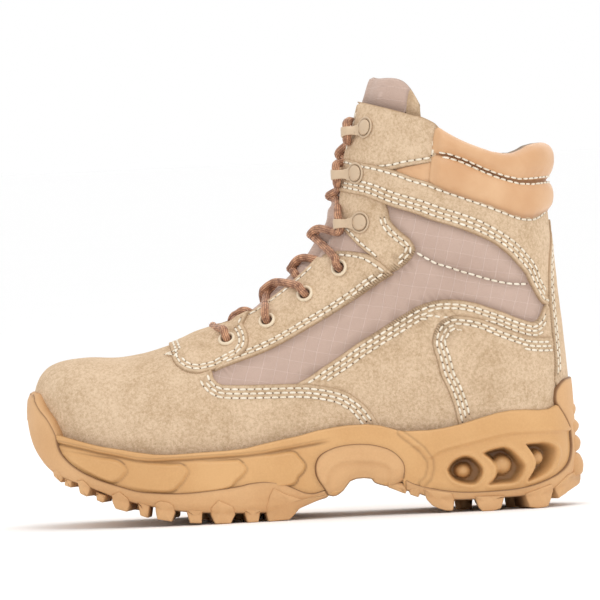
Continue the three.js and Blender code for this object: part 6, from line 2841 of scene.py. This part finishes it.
@dataclass
class Lace:
    """One round braided lace, through the eyelets and hooks of both sides, with its ends tucked away."""

    last: Last
    tongue: Tongue
    radius: float = 2.2
    ribs: int = 11
    around: int = 44
    step: float = 1.0
    spread: float = 0.5  # rows of the last by which a strand climbs beside the middle
    upper_lift: float = 2.3
    lower_lift: float = -0.9

    def build(self, shop: Workshop, looks: Finishes) -> float:
        """Makes the lace.

        Args:
            shop: what makes pieces.
            looks: the materials.

        Returns:
            Its length in metres.
        """
        path = self.path()
        names = ["lace_bar", *(f"lace_cross_{i}" for i in range(1, 7))]
        shop.piece("lace", self.cord(path), [looks.lace], names)
        return float(np.linalg.norm(np.diff(path, axis=0), axis=1).sum() * MM)

    def path(self) -> Points:
        """The lace's middle line, from one tucked end to the other.

        Returns:
            Close points along it.
        """
        first = self.strand(Side.LATERAL)
        second = self.strand(Side.MEDIAL)
        bar = self.bar()
        points = np.array([*reversed(first), *bar, *second])
        return smooth_line(points, self.step)

    def bar(self) -> list[Points]:
        """Over the outside of the yoke, between the two lowest eyelets.

        Returns:
            The places that it passes.
        """
        r = self.radius
        left, right = (stand(self.last, FASTENINGS[0], side) for side in Side)
        level = FASTENINGS[0].lift + r
        over = [self.tongue.place(7.1, across, self.radius + 1.6) for across in (-0.3, 0.0, 0.3)]
        return [left.at(1.4, level + 0.6), left.at(6.0, level + 0.2, 0.3), *over,
                right.at(6.0, level + 0.2, 0.3), right.at(1.4, level + 0.6)]

    def strand(self, side: Side) -> list[Points]:
        """One half, up from the lowest eyelet of a side, changing sides at each row.

        Args:
            side: the side that it starts on.

        Returns:
            The places that it passes.
        """
        points: list[Points] = []
        now = side
        for i, place in enumerate(FASTENINGS):
            foot = stand(self.last, place, now)
            level = place.lift + self.radius
            inward = i % 2 == 0
            if place.hook:
                mid = place.lift + 2.6
                points += [foot.at(13.6, mid - 0.9, -4.5), foot.at(11.8, mid), foot.at(13.4, mid - 0.9, 5.5)]
            elif inward:
                points += [foot.at(0, level - 1.6), foot.at(0, -1.5), foot.at(2.5, -5.0, 0.5)]
            else:
                points += [foot.at(2.5, -5.0, -0.5), foot.at(0, -1.5), foot.at(0, level - 1.6),
                           foot.at(1.6, level + 0.9, 0.4), foot.at(6, level + 0.4, 1.8)]
            if i + 1 == len(FASTENINGS):
                points += [foot.at(15.5, -2.0, 8.5), foot.at(15.5, -6.5, 6)]
                continue
            points += self._crossing(i, now, inward)
            now = Side(-now.value)
        return points

    def _crossing(self, row: int, side: Side, hidden: bool) -> list[Points]:
        """Over the tongue from one row to the next, the medial half passing over the lateral one.

        Args:
            row: the number of the lower fastening.
            side: the side that the strand starts from.
            hidden: whether the strands run under the facings.

        Returns:
            The places that it passes.
        """
        other = Side(-side.value)
        low, high = FASTENINGS[row], FASTENINGS[row + 1]
        starts = [self.last.chart([(f.x, f.z)], side)[0, 0] for f in (low, high)]
        middle = CROSSINGS[row]
        before, after = (middle + np.clip(0.4 * (u - middle), -self.spread, self.spread) for u in starts)
        over = self.upper_lift if side is Side.MEDIAL else self.lower_lift
        lift = self.radius + (over * 0.6 - 1.3 if hidden else over)
        points = [self.tongue.place(before, side.value * 0.22, lift), self.tongue.middle(middle, lift),
                  self.tongue.place(after, other.value * 0.22, lift)]
        if not hidden and not high.hook:
            end = stand(self.last, high, other)
            level = high.lift + self.radius
            points += [end.at(6.5, level + 0.1, -1.6), end.at(1.8, level + 0.6, -0.4)]
        return points

    def cord(self, path: Points) -> Shape:
        """The ribbed cord along a path, with slight lumps.

        Args:
            path: the cord's middle line.

        Returns:
            The cord.
        """
        ahead = unit(np.gradient(path, axis=0))
        side = np.zeros_like(ahead)
        side[0] = unit(np.cross(ahead[0], (0.3, 0.2, 1)))
        for i in range(1, len(path)):
            side[i] = unit(side[i - 1] - ahead[i] * (side[i - 1] @ ahead[i]))
        up = np.cross(ahead, side)
        run = np.arange(len(path))[:, None] * self.step
        turn = whole_turn(self.around)
        rib = np.abs(np.cos(turn * self.ribs / 2))
        lumps = 0.012 * np.sin(run * 0.9 + 2 * np.sin(run * 0.13))
        ends = np.sqrt(np.clip(smooth(np.minimum(run, run[::-1]), -0.5, 1.5), 0.02, 1))
        size = self.radius * (0.9 + 0.11 * rib + lumps) * ends
        points = (path[:, None] + side[:, None] * (np.cos(turn) * size)[..., None]
                  + up[:, None] * (np.sin(turn) * size)[..., None])
        # Painted shade in the valleys between the ribs.
        shade = 0.9 * (1 - rib) ** 1.3
        shape = Shape()
        shape.grid(points, np.broadcast_to(shade, points.shape[:2]), ring=True, capped=True)
        return shape


# ---------------------------------------------------------------- studio


@dataclass(frozen=True)
class Studio:
    """The camera, the lights and the floor."""

    middle: tuple[float, float] = (154.1, 120.4)  # the place, in side view, that the picture is centred on
    width: float = 334.2  # of the picture, at the boot's middle
    distance: float = 5.0
    height: float = 1.2  # degrees that the camera looks down
    roll: float = 2.6  # degrees
    sensor: float = 36.0
    floor_color: tuple = srgb(255, 255, 255)

    def build(self, shop: Workshop) -> None:
        """Makes everything.

        Args:
            shop: what makes pieces.
        """
        self.camera(shop)
        self.lights()
        self.floor()

    def camera(self, shop: Workshop) -> None:
        """A long lens, square on to the lateral side.

        Args:
            shop: what makes pieces.
        """
        data = bpy.data.cameras.new("camera")
        data.sensor_width = self.sensor
        data.lens = self.sensor * self.distance / (self.width * MM)
        data.clip_end = 40
        camera = bpy.data.objects.new("camera", data)
        bpy.context.scene.collection.objects.link(camera)
        target = Vector(shop.place(np.array([self.middle[0], SOLE_MIDDLE, self.middle[1]])))
        down = math.radians(self.height)
        camera.location = target + Vector((0, -math.cos(down), math.sin(down))) * self.distance
        facing = (target - camera.location).to_track_quat("-Z", "Y").to_matrix().to_4x4()
        turned = facing @ Matrix.Rotation(math.radians(-self.roll), 4, "Z")
        camera.matrix_world = Matrix.Translation(camera.location) @ turned
        bpy.context.scene.camera = camera

    def lights(self) -> None:
        """A broad key from above the toe, a fill, light from behind and a white surround."""
        for name, place, size, power in (
            ("key", (0.2, -1.2, 2.0), 0.9, 9.0), ("fill", (1.5, -1.3, 0.7), 1.4, 2.0),
            ("top", (0.2, 0.4, 2.0), 1.6, 5.0), ("back", (0.6, 1.8, 1.0), 1.4, 4.0),
        ):
            light = bpy.data.lights.new(name, "AREA")
            light.energy = power
            light.size = size
            lamp = bpy.data.objects.new(name, light)
            lamp.location = place
            lamp.rotation_euler = (Vector((0, 0, 0.1)) - Vector(place)).to_track_quat("-Z", "Y").to_euler()
            bpy.context.scene.collection.objects.link(lamp)
        world = bpy.data.worlds.new("surround")
        world.use_nodes = True
        background = world.node_tree.nodes["Background"]
        background.inputs["Color"].default_value = (1, 1, 1, 1)
        background.inputs["Strength"].default_value = 1.0
        bpy.context.scene.world = world
        bpy.context.scene.view_settings.view_transform = "Standard"

    def floor(self) -> None:
        """A wide, pale floor."""
        mesh = bpy.data.meshes.new("floor")
        reach = 40.0
        square = [(x * reach, y * reach, 0) for x, y in ((-1, -1), (1, -1), (1, 1), (-1, 1))]
        mesh.from_pydata(square, [], [(0, 1, 2, 3)])
        nodes = Nodes("studio_paper")
        color = nodes.mix(nodes.noise(3, 2) * 0.2, self.floor_color, srgb(250, 250, 250))
        paper = nodes.finish(Base_Color=color, Roughness=0.9)
        mesh.materials.append(paper)
        floor = bpy.data.objects.new("floor", mesh)
        bpy.context.scene.collection.objects.link(floor)
        floor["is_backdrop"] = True


def corners(bounds: Sequence[Vector]) -> list[list[float]]:
    """A box's two corners as plain lists."""
    return [list(corner) for corner in bounds]


def main() -> list[list[float]]:
    """Builds the boot and its studio.

    Returns:
        The solids' own box, as two corners.
    """
    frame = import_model()
    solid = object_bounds()
    shop = Workshop(solid[0])
    Studio().build(shop)
    looks = Finishes()
    fine = 1.0
    last, heel = Last(), HeelChart()
    stitching = Stitching()
    Upper(last, heel, stitching, fine).build(shop, looks)
    Sole(SoleWall(), HeelWall(), stitching, fine).build(shop, looks)
    Collar(heel, stitching, fine).build(shop, looks)
    tongue = Tongue(last, stitching, fine)
    tongue.build(shop, looks)
    Hardware(last).build(shop, looks)
    log.info("lace: %.3f m", Lace(last, tongue).build(shop, looks))
    frame["nodes"]["insole"].material_slots[0].material = looks.lining
    shop.piece("stitches", stitching.thread, [looks.thread], tidy=False)
    shop.piece("needle_hole_shades", stitching.holes, [looks.hole], tidy=False)
    return corners(solid)


if __name__ == "__main__":
    logging.basicConfig(level=logging.INFO)
    SOLID = main()
    {"solids": SOLID, "visual": corners(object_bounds())}
